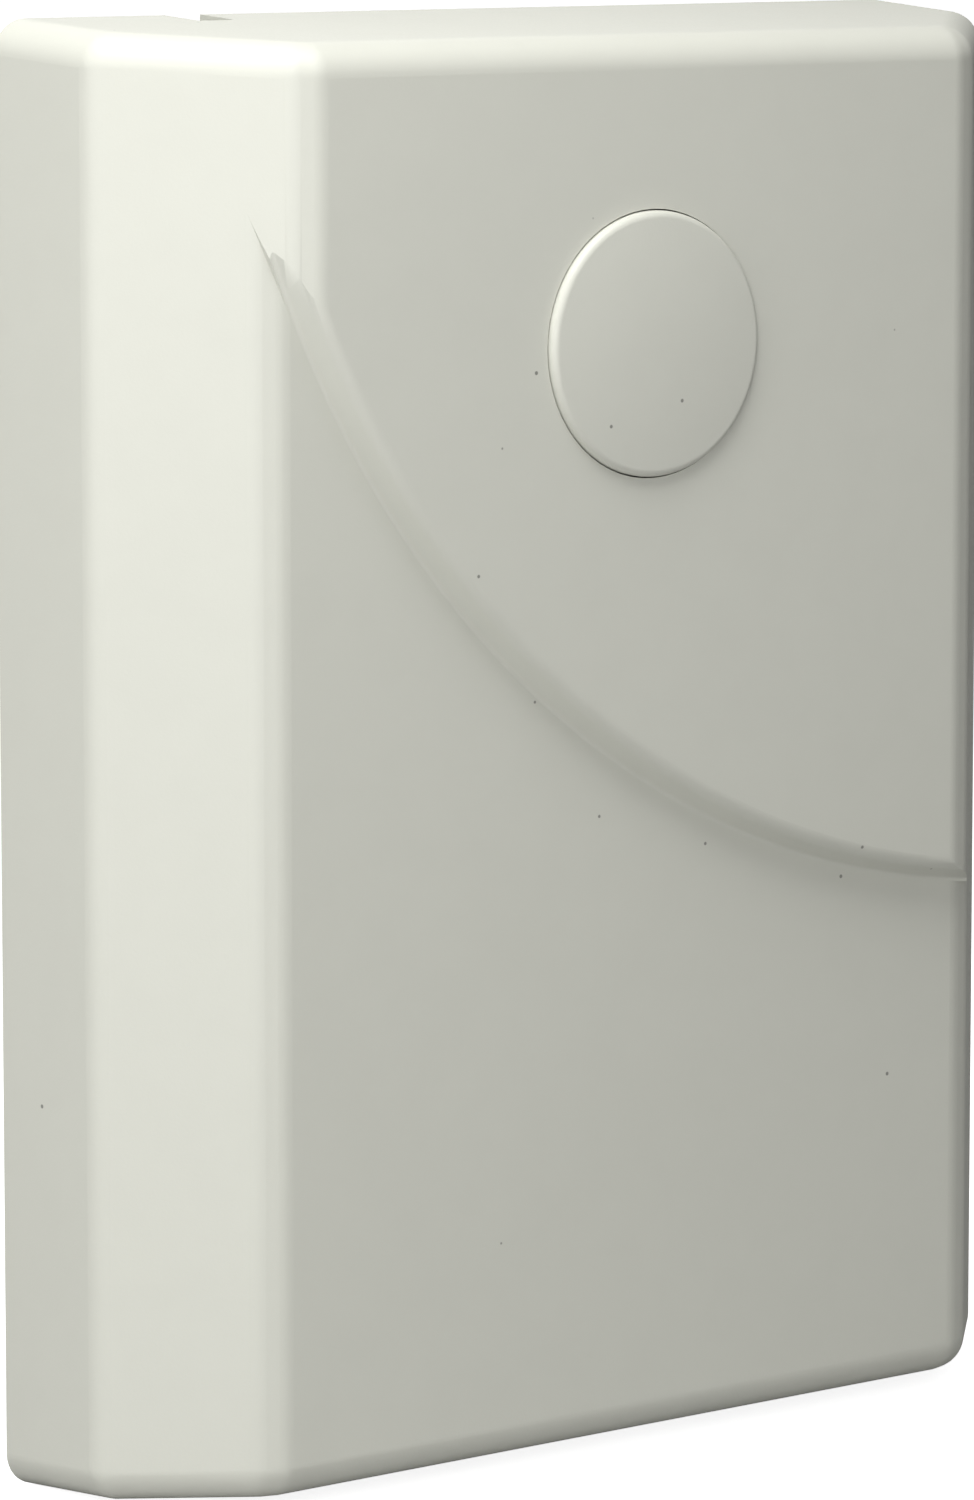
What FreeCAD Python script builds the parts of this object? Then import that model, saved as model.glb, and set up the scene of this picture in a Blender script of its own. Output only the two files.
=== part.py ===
"""Battery-powered wireless door chime for a wall, with a round push button on its front.

Every piece is modelled in the bench frame: the unit lies on its back, X to the right,
Y up the wall and Z out of the wall, and the origin is the centre of the back.
stand() then turns each finished piece upright into the row frame, where the wall is
the plane Y = 0, the front faces -Y and Z is up. All sizes are in millimetres.
"""
import FreeCAD, Part
import math
import os
from types import SimpleNamespace

import Sketcher
from FreeCAD import Placement, Rotation, Vector

UPRIGHT = Rotation(Vector(1, 0, 0), 90)
ALONG_X = Rotation(Vector(0, 1, 0), 90)

# name, value, meaning
SIZE_TABLE = [
    ("width", 120.0, "casing width at the wall"),
    ("height", 150.0, "casing height at the wall"),
    ("deep", 27.9, "depth of the lower front"),
    ("rise", 2.8, "step up to the raised front panel"),
    ("draft", 4.0, "taper of the four sides, degrees"),
    ("leg_deep", 13.0, "side chamfer, measured along the side"),
    ("leg_in", 11.7, "side chamfer, measured along the front"),
    ("bevel", 1.6, "narrow second bevel between chamfer and front"),
    ("corner", 3.6, "outer edge radius of the top, the bottom and the four corners"),
    ("upright", 4.0, "edge radius of the upright edges, a little over the corner's"),
    ("wall", 2.2, "casing wall"),
    ("gap", 0.4, "air between separate casings"),
    ("sweep", 109.6, "radius of the sweeping step on the front"),
    ("sweep_x", 57.4, "centre of the sweep, to the right"),
    ("sweep_y", 91.3, "centre of the sweep, up"),
    ("cove", 0.6, "hollow radius at the foot of the step"),
    ("brow", 1.6, "round radius at the top of the step"),
    ("slope", 62.0, "slope of the step, degrees"),
    ("button_y", 41.5, "button centre above the casing centre"),
    ("button", 13.65, "button radius"),
    ("button_gap", 0.16, "air round the button"),
    ("proud", 0.9, "button rim above the raised front"),
    ("crown", 0.5, "dome of the button face"),
    ("button_wall", 1.6, "button wall"),
    ("stem", 2.4, "button stem radius"),
    ("tray", 9.0, "depth of the back plate's rim"),
    ("tray_wall", 1.8, "back plate wall"),
    ("pilot", 0.9, "screw hole radius in a plastic post"),
    ("post", 2.6, "screw post radius"),
    ("board_back", 8.0, "circuit board, rear face above the wall"),
    ("board", 1.6, "circuit board thickness"),
    ("board_wide", 74.0, "circuit board width"),
    ("board_tall", 52.0, "circuit board height"),
    ("board_y", 41.5, "circuit board centre above the casing centre"),
    ("switch", 6.2, "push switch body, square side"),
    ("switch_tall", 3.5, "push switch body height"),
    ("plunger", 1.7, "push switch plunger radius"),
    ("fit", 0.08, "radial clearance of a running fit"),
    ("speaker", 20.0, "speaker flange radius"),
    ("flange", 0.8, "speaker flange thickness"),
    ("sound_pitch", 4.0, "distance between neighbouring sound slots"),
    ("speaker_x", -30.0, "speaker centre, to the right"),
    ("speaker_y", -29.5, "speaker centre, up"),
    ("seat", 13.0, "speaker seat above the wall"),
    ("cell", 7.15, "battery cell radius"),
    ("cell_long", 49.3, "battery cell body length"),
    ("cell_pitch", 15.0, "distance between neighbouring cells"),
    ("cells_y", -29.5, "middle cell, up"),
    ("bay_x", -4.5, "left end of the battery bay, inside"),
    ("bay_long", 56.5, "inside length of the battery bay"),
    ("lead", 0.6, "radius of an insulated lead"),
    ("screw_reach", 94.0, "distance between the two lower wall screw holes"),
    ("wall_hole", 2.25, "wall screw hole radius"),
    ("wall_hole_y", -63.0, "lower wall screw holes, up"),
    ("key_x", 46.0, "keyholes, each side of the centre"),
    ("key_y", 50.0, "keyholes, up"),
    ("notch_x", -37.0, "release notch in the top edge, to the right"),
    ("notch", 4.4, "release notch width"),
    ("notch_deep", 6.0, "release notch depth"),
]


class Term:
    """A size formula: its number, and the same formula as text for an expression."""

    def __init__(self, number, text=None):
        self.number = float(number)
        self.text = text or repr(float(number))

    def __add__(self, other):
        other = term(other)
        return Term(self.number + other.number, f"({self.text} + {other.text})")

    def __radd__(self, other):
        return term(other) + self

    def __sub__(self, other):
        other = term(other)
        return Term(self.number - other.number, f"({self.text} - {other.text})")

    def __rsub__(self, other):
        return term(other) - self

    def __mul__(self, other):
        other = term(other)
        return Term(self.number * other.number, f"({self.text} * {other.text})")

    def __rmul__(self, other):
        return term(other) * self

    def __truediv__(self, other):
        other = term(other)
        return Term(self.number / other.number, f"({self.text} / {other.text})")

    def __neg__(self):
        return Term(-self.number, f"(0 - {self.text})")


def term(value):
    return value if isinstance(value, Term) else Term(value)


def sine(angle):
    return Term(math.sin(math.radians(angle.number)), f"sin({angle.text})")


def cosine(angle):
    return Term(math.cos(math.radians(angle.number)), f"cos({angle.text})")


def tangent(angle):
    return Term(math.tan(math.radians(angle.number)), f"tan({angle.text})")


def length(across, up):
    """Length of the slanted line that covers two right-angled distances."""
    return Term(math.hypot(across.number, up.number), f"sqrt(({across.text})^2 + ({up.text})^2)")


def half_turn(opposite, adjacent):
    """Tangent of half the angle whose tangent is opposite / adjacent."""
    ratio = opposite / adjacent
    return Term(math.tan(math.atan(ratio.number) / 2), f"tan(atan({ratio.text}) / 2)")


doc = FreeCAD.newDocument("DoorChime")
sheet = doc.addObject("Spreadsheet::Sheet", "Sizes")
for row, (alias, value, meaning) in enumerate(SIZE_TABLE, start=1):
    sheet.set(f"A{row}", meaning)
    sheet.set(f"B{row}", str(value))
    sheet.setAlias(f"B{row}", alias)
doc.recompute()
S = SimpleNamespace(**{alias: Term(value, f"Sizes.{alias}") for alias, value, _ in SIZE_TABLE})

FRONT = S.deep + S.rise
SWEEP_BANDS = 7        # cones that make up each curve of the step's flank
FRONT_INSIDE = FRONT - S.wall
BOARD_TOP = S.board_back + S.board
SWITCH_TOP = BOARD_TOP + S.switch_tall
RETAINER_BACK = SWITCH_TOP + 5.2
RETAINER_FRONT = RETAINER_BACK + 1.8
STEM_TIP = SWITCH_TOP + 3.8
SCREW_SHANK = S.pilot - 0.05
CELL_Z = S.tray_wall + 0.5 + S.cell
CONTACT = 0.4
CONTACT_TOP = 13.0
ARC_SHARE = 0.45
SOUND_SLOTS = 9
CHIP_RESISTORS = 8
# x, y from the board's centre, radius and height of each electrolytic capacitor
CAPACITORS = [(28.0, 10.0, 3.15, 6.0), (28.0, 1.0, 3.15, 6.0), (12.0, 19.0, 2.5, 5.0)]

spots = {}
nodes = []


# ---------------------------------------------------------------- building blocks

def bind(thing, **values):
    """Set sizes of an object and tie each one to its formula."""
    for name, value in values.items():
        value = term(value)
        setattr(thing, name, value.number)
        thing.setExpression(name, value.text)


def place(thing, x=0, y=0, z=0, turn=None):
    """Put an object at a point of the bench frame."""
    spot = [term(value) for value in (x, y, z)]
    turn = turn or Rotation()
    thing.Placement = Placement(Vector(*[value.number for value in spot]), turn)
    for axis, value in zip("xyz", spot):
        thing.setExpression(f"Placement.Base.{axis}", value.text)
    spots[thing.Name] = spot
    return thing


def stand(name, thing):
    """Name a finished piece and turn it upright into the row frame."""
    x, y, z = spots.get(thing.Name, [term(0)] * 3)
    thing.Label = name
    turn = UPRIGHT.multiply(thing.Placement.Rotation)
    place(thing, x, -z, y, turn)
    nodes.append(thing)
    return thing


def box(name, x, y, z):
    """A box between two values along each axis."""
    block = doc.addObject("Part::Box", name)
    low = [term(pair[0]) for pair in (x, y, z)]
    high = [term(pair[1]) for pair in (x, y, z)]
    bind(block, Length=high[0] - low[0], Width=high[1] - low[1], Height=high[2] - low[2])
    return place(block, *low)


def rod(name, radius, x, y, z):
    """A cylinder along Z from z[0] to z[1]."""
    bar = doc.addObject("Part::Cylinder", name)
    bind(bar, Radius=radius, Height=term(z[1]) - z[0])
    return place(bar, x, y, z[0])


def rod_x(name, radius, x, y, z):
    """A cylinder along X from x[0] to x[1]."""
    bar = doc.addObject("Part::Cylinder", name)
    bind(bar, Radius=radius, Height=term(x[1]) - x[0])
    return place(bar, x[0], y, z, ALONG_X)


def combined(kind, name, things):
    """A boolean of several things, with every face kept as the parts made it."""
    whole = doc.addObject(kind, name)
    whole.Shapes = list(things)
    whole.Refine = False
    return whole


def fuse(name, *things):
    return combined("Part::MultiFuse", name, things)


def common(name, *things):
    return combined("Part::MultiCommon", name, things)


def cut(name, base, *tools):
    rest = doc.addObject("Part::Cut", name)
    rest.Base = base
    rest.Tool = tools[0] if len(tools) == 1 else fuse(name + "Tools", *tools)
    rest.Refine = False
    return rest


def group(name, *things):
    """Identical separate pieces that share one node."""
    bundle = doc.addObject("Part::Compound", name)
    bundle.Links = list(things)
    return bundle


def new_sketch(body, name, plane_role):
    sketch = body.newObject("Sketcher::SketchObject", name)
    plane = [part for part in body.Origin.OriginFeatures if part.Role == plane_role][0]
    sketch.AttachmentSupport = [(plane, "")]
    sketch.MapMode = "FlatFace"
    return sketch


def outline(sketch, points, arcs=None):
    """Draw a closed outline whose corners are tied to formulas.

    arcs maps the index of a side to (centre x, centre y, radius): that side is an arc
    from its corner to the next one, drawn the short way round.
    """
    arcs = arcs or {}
    points = [(term(x), term(y)) for x, y in points]
    count = len(points)
    for index, (x, y) in enumerate(points):
        start = Vector(x.number, y.number, 0)
        end = Vector(points[(index + 1) % count][0].number, points[(index + 1) % count][1].number, 0)
        if index in arcs:
            centre = Vector(term(arcs[index][0]).number, term(arcs[index][1]).number, 0)
            radius = term(arcs[index][2]).number
            toward = (start + end) * 0.5 - centre
            middle = centre + toward * (radius / toward.Length)
            clockwise = (start - centre).cross(end - centre).z < 0
            first, last = (end, start) if clockwise else (start, end)
            sketch.addGeometry(Part.Arc(first, middle, last), False)
        else:
            sketch.addGeometry(Part.LineSegment(start, end), False)
    ends = []
    for index, (x, y) in enumerate(points):
        corner = sketch.Geometry[index]
        expected = Vector(x.number, y.number, 0)
        forward = (corner.StartPoint - expected).Length < 1e-6
        ends.append((1, 2) if forward else (2, 1))
    for index in range(count):
        following = (index + 1) % count
        sketch.addConstraint(Sketcher.Constraint(
            "Coincident", index, ends[index][1], following, ends[following][0]))
    for index, (x, y) in enumerate(points):
        for kind, axis, value in (("DistanceX", -2, x), ("DistanceY", -1, y)):
            if value.number == 0:
                sketch.addConstraint(Sketcher.Constraint("PointOnObject", index, ends[index][0], axis))
                continue
            slot = sketch.addConstraint(Sketcher.Constraint(
                kind, -1, 1, index, ends[index][0], value.number))
            sketch.setExpression(f"Constraints[{slot}]", value.text)
    for index, (_, _, radius) in arcs.items():
        radius = term(radius)
        slot = sketch.addConstraint(Sketcher.Constraint("Radius", index, radius.number))
        sketch.setExpression(f"Constraints[{slot}]", radius.text)


def turned(name, points, arcs=None):
    """A turned piece: an outline of (radius, height) corners revolved about Z."""
    body = doc.addObject("PartDesign::Body", name)
    sketch = new_sketch(body, name + "Outline", "XZ_Plane")
    outline(sketch, points, arcs)
    turn = body.newObject("PartDesign::Revolution", name + "Turn")
    turn.Profile = sketch
    turn.ReferenceAxis = (sketch, ["V_Axis"])
    turn.Angle = 360
    body.Tip = turn
    return body


def edges_where(feature, test):
    """Names of the edges whose two ends pass a test."""
    doc.recompute()
    names = []
    for number, edge in enumerate(feature.Shape.Edges, start=1):
        first = edge.Vertexes[0].Point
        last = edge.Vertexes[-1].Point
        if test(first, last):
            names.append(f"Edge{number}")
    return names


def runs_up(first, last):
    """True for an edge that runs along the height of the casing."""
    return abs((last - first).y) > S.height.number / 2


def soften(body, feature, name, radius, test):
    """Round the edges of a body that pass a test."""
    rounding = body.newObject("PartDesign::Fillet", name)
    rounding.Base = (feature, edges_where(feature, test))
    bind(rounding, Radius=radius)
    body.Tip = rounding
    return rounding


def tapered_body(name, right_side, inset, depth):
    """A body with four tapered sides, from the right half of its section at right angles to Y.

    right_side runs from the wall to the front as (x, z) corners, and is mirrored.
    """
    body = doc.addObject("PartDesign::Body", name)
    section = new_sketch(body, name + "Section", "XZ_Plane")
    outline(section, right_side + [(-term(x), z) for x, z in reversed(right_side)])
    pad = body.newObject("PartDesign::Pad", name + "Pad")
    pad.Profile = section
    pad.SideType = "Symmetric"
    bind(pad, Length=S.height - 2 * term(inset))
    body.Tip = pad
    end = S.height / 2 - inset
    for side, letter in ((1, "Top"), (-1, "Foot")):
        wedge = new_sketch(body, f"{name}{letter}Wedge", "YZ_Plane")
        outline(wedge, [
            (end * side, 0), ((end - (depth + 1) * tangent(S.draft)) * side, depth + 1),
            ((end + 1) * side, depth + 1), ((end + 1) * side, 0)])
        trim = body.newObject("PartDesign::Pocket", f"{name}{letter}Trim")
        trim.Profile = wedge
        trim.SideType = "Symmetric"
        bind(trim, Length=S.width * 2)
        body.Tip = trim
    return body


def tapered_block(name, inset, depth):
    """The casing's plain tapered block with rounded corners, drawn in on its four sides."""
    half = S.width / 2 - inset
    depth = term(depth)
    body = tapered_body(name, [(half, 0), (half - depth * tangent(S.draft), depth)], inset, depth)

    def corner_edge(first, last):
        return abs(last.z - first.z) > depth.number / 2

    soften(body, body.Tip, name + "Corners", S.corner - S.wall, corner_edge)
    return body


def casing(name, inset, depth, grown=Term(0)):
    """The casing's outer form, or the same form drawn in by an inset.

    depth is the front face's height, and grown is how much deeper this form is than the
    plain one: its side chamfers then reach further, in the same two planes.
    """
    stretch = (S.leg_deep + grown / cosine(S.draft)) / S.leg_deep
    leg_deep = S.leg_deep * stretch - inset * (1 - half_turn(S.leg_in, S.leg_deep))
    leg_in = S.leg_in * stretch - inset * (1 - half_turn(S.leg_deep, S.leg_in))
    half = S.width / 2 - inset
    corner_x = half - depth * tangent(S.draft)
    shoulder = (corner_x + leg_deep * sine(S.draft), depth - leg_deep * cosine(S.draft))
    edge_x = corner_x - leg_in
    across, down = shoulder[0] - edge_x, depth - shoulder[1]
    share = S.bevel / length(across, down)
    body = tapered_body(name, [
        (half, 0), shoulder, (edge_x + across * share, depth - down * share),
        (edge_x - S.bevel, depth)], inset, depth)
    low = shoulder[1].number

    def side_edge(first, last):
        return runs_up(first, last) and abs(first.z - low) < 0.1

    def bevel_edge(first, last):
        return runs_up(first, last) and min(first.z, last.z) > low + 4

    sides = soften(body, body.Tip, name + "SideEdges", S.upright - inset, side_edge)
    narrow = soften(body, sides, name + "BevelEdges", S.upright - inset, bevel_edge)
    end = (S.height / 2 - inset - depth * tangent(S.draft)).number

    def cap_edge(first, last):
        same_end = first.y * last.y > 0
        near_end = min(abs(first.y), abs(last.y)) > end - 0.1
        return same_end and near_end and max(first.z, last.z) > 0.01

    soften(body, narrow, name + "EndEdges", S.corner - inset, cap_edge)
    return body


def sweep_disc(name, inset, floor):
    """Everything inside the front's sweeping step; its curved flank is a row of narrow cones."""
    radius = S.sweep - inset
    run = S.cove * sine(S.slope) + S.brow * sine(S.slope)
    climb = (S.cove + S.brow) * (1 - cosine(S.slope))
    flat = (S.rise - climb) * cosine(S.slope) / sine(S.slope)
    foot = radius + (run + flat) / 2
    top = foot - run - flat
    low = S.deep - inset
    high = FRONT - inset
    turns = [S.slope * (band / SWEEP_BANDS) for band in range(SWEEP_BANDS + 1)]
    hollow = [(foot - S.cove * sine(turn), low + S.cove * (1 - cosine(turn))) for turn in turns]
    crown = [(top + S.brow * sine(turn), high - S.brow * (1 - cosine(turn))) for turn in reversed(turns)]
    points = [(0, floor), (foot, floor), *hollow, *crown, (top, high + 1), (0, high + 1)]
    return place(turned(name, points), S.sweep_x, S.sweep_y)


def two_level(name, inset):
    """The whole casing form: the lower front, and the raised panel inside the sweep."""
    lower = casing(name + "Lower", inset, S.deep - inset)
    upper = casing(name + "Upper", inset, FRONT - inset, grown=S.rise)
    disc = sweep_disc(name + "Sweep", inset, S.deep - S.leg_deep)
    return fuse(name, lower, common(name + "Panel", upper, disc))


def screw(name, head_radius, head, shank, tip, recess=0.9):
    """A pan-head screw along Z, its head between head[0] and head[1]."""
    low, high = term(head[0]), term(head[1])
    toward = 1 if tip.number > high.number else -1
    under, outer = (high, low) if toward > 0 else (low, high)
    inner = outer + (0.6 * toward)
    return turned(name, [
        (0, tip), (0.3, tip), (shank, tip - toward * 1.2), (shank, under), (head_radius, under),
        (head_radius, outer + 0.5 * toward), (head_radius - 0.5, outer), (recess, outer),
        (recess * 0.6, inner), (0, inner)])


# ---------------------------------------------------------------- casing pieces

def make_front_cover():
    outer = two_level("CoverOuter", 0)
    inner = two_level("CoverInner", S.wall)
    shell = cut("CoverShell", outer, inner)
    collar = rod("CoverCollar", S.button + S.button_gap + S.wall * 0.8, 0, S.button_y,
                 (FRONT_INSIDE - 3, FRONT - 1))
    additions = [shell, collar]
    pilots = []
    for index, (x, y) in enumerate(retainer_posts()):
        additions.append(rod(f"CoverPost{index}", S.post, x, y, (RETAINER_FRONT, FRONT - 1)))
        pilots.append(rod(f"CoverPilot{index}", S.pilot, x, y, (RETAINER_FRONT - 1, FRONT - S.wall)))
    solid = fuse("CoverSolid", *additions)
    hole = rod("CoverHole", S.button + S.button_gap, 0, S.button_y, (RETAINER_FRONT, FRONT + 1))
    notch = box("CoverNotch", (S.notch_x - S.notch / 2, S.notch_x + S.notch / 2),
                (S.height / 2 - S.wall - 1.5, S.height / 2 + 1), (-1, S.notch_deep))
    slots = []
    for index in range(SOUND_SLOTS):
        x = S.speaker_x + (index - (SOUND_SLOTS - 1) / 2) * S.sound_pitch
        slots.append(box(f"CoverSlot{index}", (x - 1, x + 1),
                         (-S.height / 2 - 1, -S.height / 2 + S.wall + 3), (11, 21)))
    stand("front_cover", cut("Cover", solid, hole, notch, *pilots, *slots))


def make_back_plate():
    clear = S.wall + S.gap
    outer = tapered_block("TrayOuter", clear, S.tray)
    inner = place(tapered_block("TrayInner", clear + S.tray_wall, S.tray), 0, 0, S.tray_wall + 0.4)
    tray = cut("TrayShell", outer, inner)
    floor = S.tray_wall
    additions = [tray]
    holes = []
    for index, (x, y) in enumerate(board_posts()):
        additions.append(rod(f"TrayPost{index}", S.post, x, y, (floor, S.board_back)))
        holes.append(rod(f"TrayPilot{index}", S.pilot, x, y, (floor + 1, S.board_back + 1)))
    seat = cut("TraySeat", rod("TraySeatOuter", S.speaker + 1.8, S.speaker_x, S.speaker_y, (floor, S.seat)),
               rod("TraySeatInner", S.speaker - 1.8, S.speaker_x, S.speaker_y, (floor - 1, S.seat + 1)))
    additions.append(seat)
    for index, (x, y) in enumerate(speaker_posts()):
        additions.append(rod(f"SeatPost{index}", S.post, x, y, (floor, S.seat + S.flange)))
        holes.append(rod(f"SeatPilot{index}", S.pilot, x, y, (floor + 1, S.seat + 2)))
    additions.append(battery_bay(floor))
    flange = rod("SeatFlangeRoom", S.speaker + 0.2, S.speaker_x, S.speaker_y, (S.seat, S.seat + 3))
    holes.append(flange)
    for side, letter in ((-1, "Left"), (1, "Right")):
        x = S.key_x * side
        holes.append(rod(f"Key{letter}Head", 4.5, x, S.key_y - 7, (-1, floor + 1)))
        holes.append(box(f"Key{letter}Slot", (x - 2.1, x + 2.1), (S.key_y - 7, S.key_y), (-1, floor + 1)))
        holes.append(rod(f"Key{letter}Top", 2.1, x, S.key_y, (-1, floor + 1)))
        holes.append(rod(f"Wall{letter}Hole", S.wall_hole, S.screw_reach / 2 * side, S.wall_hole_y,
                         (-1, floor + 1)))
    stand("back_plate", cut("Tray", fuse("TraySolid", *additions), *holes))


def battery_bay(floor):
    """Walls round the three cells, and low ribs that keep them apart."""
    left, right = S.bay_x, S.bay_x + S.bay_long
    half = S.cell_pitch * 1.5 + 0.3
    rim = 1.5
    outer = box("BayOuter", (left - rim, right + rim), (S.cells_y - half - rim, S.cells_y + half + rim),
                (floor, 12))
    inner = box("BayInner", (left, right), (S.cells_y - half, S.cells_y + half), (floor - 1, 13))
    walls = cut("BayWalls", outer, inner)
    ribs = []
    for index in (-1, 1):
        y = S.cells_y + S.cell_pitch / 2 * index
        ribs.append(box(f"BayRib{index + 1}", (left + 6, right - 6), (y - 0.5, y + 0.5), (floor, 5)))
    return fuse("Bay", walls, *ribs)


# ---------------------------------------------------------------- where posts stand

def around(x, y, radius, angles):
    """Points on a circle, as formulas."""
    spokes = [(math.cos(math.radians(angle)), math.sin(math.radians(angle))) for angle in angles]
    return [(term(x) + radius * across, term(y) + radius * up) for across, up in spokes]


def retainer_posts():
    return around(0, S.button_y, 20.5, (90, 210, 330))


def speaker_posts():
    return around(S.speaker_x, S.speaker_y, 23.2, (90, 215, 325))


def speaker_tab(radius):
    """The point on the speaker's terminal tab at a distance from the speaker's centre."""
    return around(S.speaker_x, S.speaker_y, radius, (45,))[0]


def board_posts():
    x, y = S.board_wide / 2 - 4, S.board_tall / 2 - 4
    return [(x * side, S.board_y + y * end) for side in (-1, 1) for end in (-1, 1)]


def make_button():
    """Domed cap with a skirt, a retaining flange behind the panel and a central stem."""
    rim = FRONT + S.proud
    radius = S.button
    inside = radius - S.button_wall
    edge = 0.8
    shoulder = FRONT_INSIDE - 3 - 0.3
    dome = (radius - edge) * (radius - edge) / (2 * S.crown) + S.crown / 2
    points = [
        (0, STEM_TIP), (S.stem - 0.4, STEM_TIP), (S.stem, STEM_TIP + 0.4),
        (S.stem, rim - S.button_wall), (inside, rim - S.button_wall), (inside, shoulder - 1.2),
        (radius + 1.2, shoulder - 1.2), (radius + 1.2, shoulder), (radius, shoulder),
        (radius, rim - edge), (radius - edge, rim), (0, rim + S.crown),
    ]
    arcs = {9: (radius - edge, rim - edge, edge), 10: (0, rim + S.crown - dome, dome)}
    stand("push_button", place(turned("Button", points, arcs), 0, S.button_y))
    spring_radius = S.stem + 1.6
    coil = cut("Coil", rod("CoilOuter", spring_radius + 0.5, 0, S.button_y,
                           (RETAINER_FRONT, rim - S.button_wall)),
               rod("CoilInner", spring_radius - 0.5, 0, S.button_y, (RETAINER_FRONT - 1, rim)))
    stand("button_spring", coil)


def make_retainer():
    plate = rod("RetainerPlate", S.button + 4.4, 0, S.button_y, (RETAINER_BACK, RETAINER_FRONT))
    bush = rod("RetainerBush", S.stem + 1.0, 0, S.button_y, (RETAINER_BACK - 1.2, RETAINER_FRONT))
    ears = []
    holes = [rod("RetainerBore", S.stem + S.fit, 0, S.button_y, (RETAINER_BACK - 2, RETAINER_FRONT + 1))]
    screws = []
    for index, (x, y) in enumerate(retainer_posts()):
        ears.append(rod(f"RetainerEar{index}", 4.2, x, y, (RETAINER_BACK, RETAINER_FRONT)))
        holes.append(rod(f"RetainerHole{index}", S.pilot + 0.3, x, y,
                         (RETAINER_BACK - 1, RETAINER_FRONT + 1)))
        fixing = screw(f"RetainerScrew{index}", 2.0, (RETAINER_BACK - 1.3, RETAINER_BACK), SCREW_SHANK,
                       RETAINER_FRONT + 5)
        screws.append(place(fixing, x, y))
    for index, (x, y) in enumerate(around(0, S.button_y, 10.5, range(0, 360, 60))):
        holes.append(rod(f"RetainerWindow{index}", 2.6, x, y, (RETAINER_BACK - 1, RETAINER_FRONT + 1)))
    stand("button_retainer", cut("Retainer", fuse("RetainerSolid", plate, bush, *ears), *holes))
    stand("retainer_screws", group("RetainerScrews", *screws))


# ---------------------------------------------------------------- circuit board

def make_board():
    half_wide, half_tall = S.board_wide / 2, S.board_tall / 2
    blank = box("BoardBlank", (-half_wide, half_wide), (S.board_y - half_tall, S.board_y + half_tall),
                (S.board_back, BOARD_TOP))
    holes = []
    screws = []
    for index, (x, y) in enumerate(board_posts()):
        holes.append(rod(f"BoardHole{index}", S.pilot + 0.3, x, y, (S.board_back - 1, BOARD_TOP + 1)))
        fixing = screw(f"BoardScrew{index}", 2.1, (BOARD_TOP, BOARD_TOP + 1.5), SCREW_SHANK,
                       S.board_back - 4.5)
        screws.append(place(fixing, x, y))
    stand("circuit_board", cut("Board", blank, *holes))
    stand("board_screws", group("BoardScrews", *screws))


def make_push_switch():
    half = S.switch / 2
    top = SWITCH_TOP
    case = box("SwitchBlock", (-half, half), (S.button_y - half, S.button_y + half), (BOARD_TOP, top))
    well = rod("SwitchWell", S.plunger + S.fit, 0, S.button_y, (top - 2.9, top + 1))
    stand("switch_body", cut("SwitchCase", case, well))
    reach = STEM_TIP - 0.3
    stand("switch_plunger", place(turned("Plunger", [
        (0, top - 1.7), (S.plunger, top - 1.7), (S.plunger, reach - 0.3),
        (S.plunger - 0.3, reach), (0, reach)]), 0, S.button_y))


def make_volume_switch():
    x, y = term(22), S.board_y - S.board_tall / 2 + 5
    top = BOARD_TOP + 3.5
    case = box("VolumeBlock", (x - 5, x + 5), (y - 1.9, y + 1.9), (BOARD_TOP, top))
    channel = box("VolumeChannel", (x - 3.1, x + 3.1), (y - 0.9, y + 0.9), (top - 1.6, top + 1))
    stand("volume_switch", cut("VolumeCase", case, channel))
    stand("volume_knob", box("VolumeKnob", (x - 0.8, x + 0.8), (y - 0.8, y + 0.8), (top - 1.3, top + 2.2)))


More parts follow.
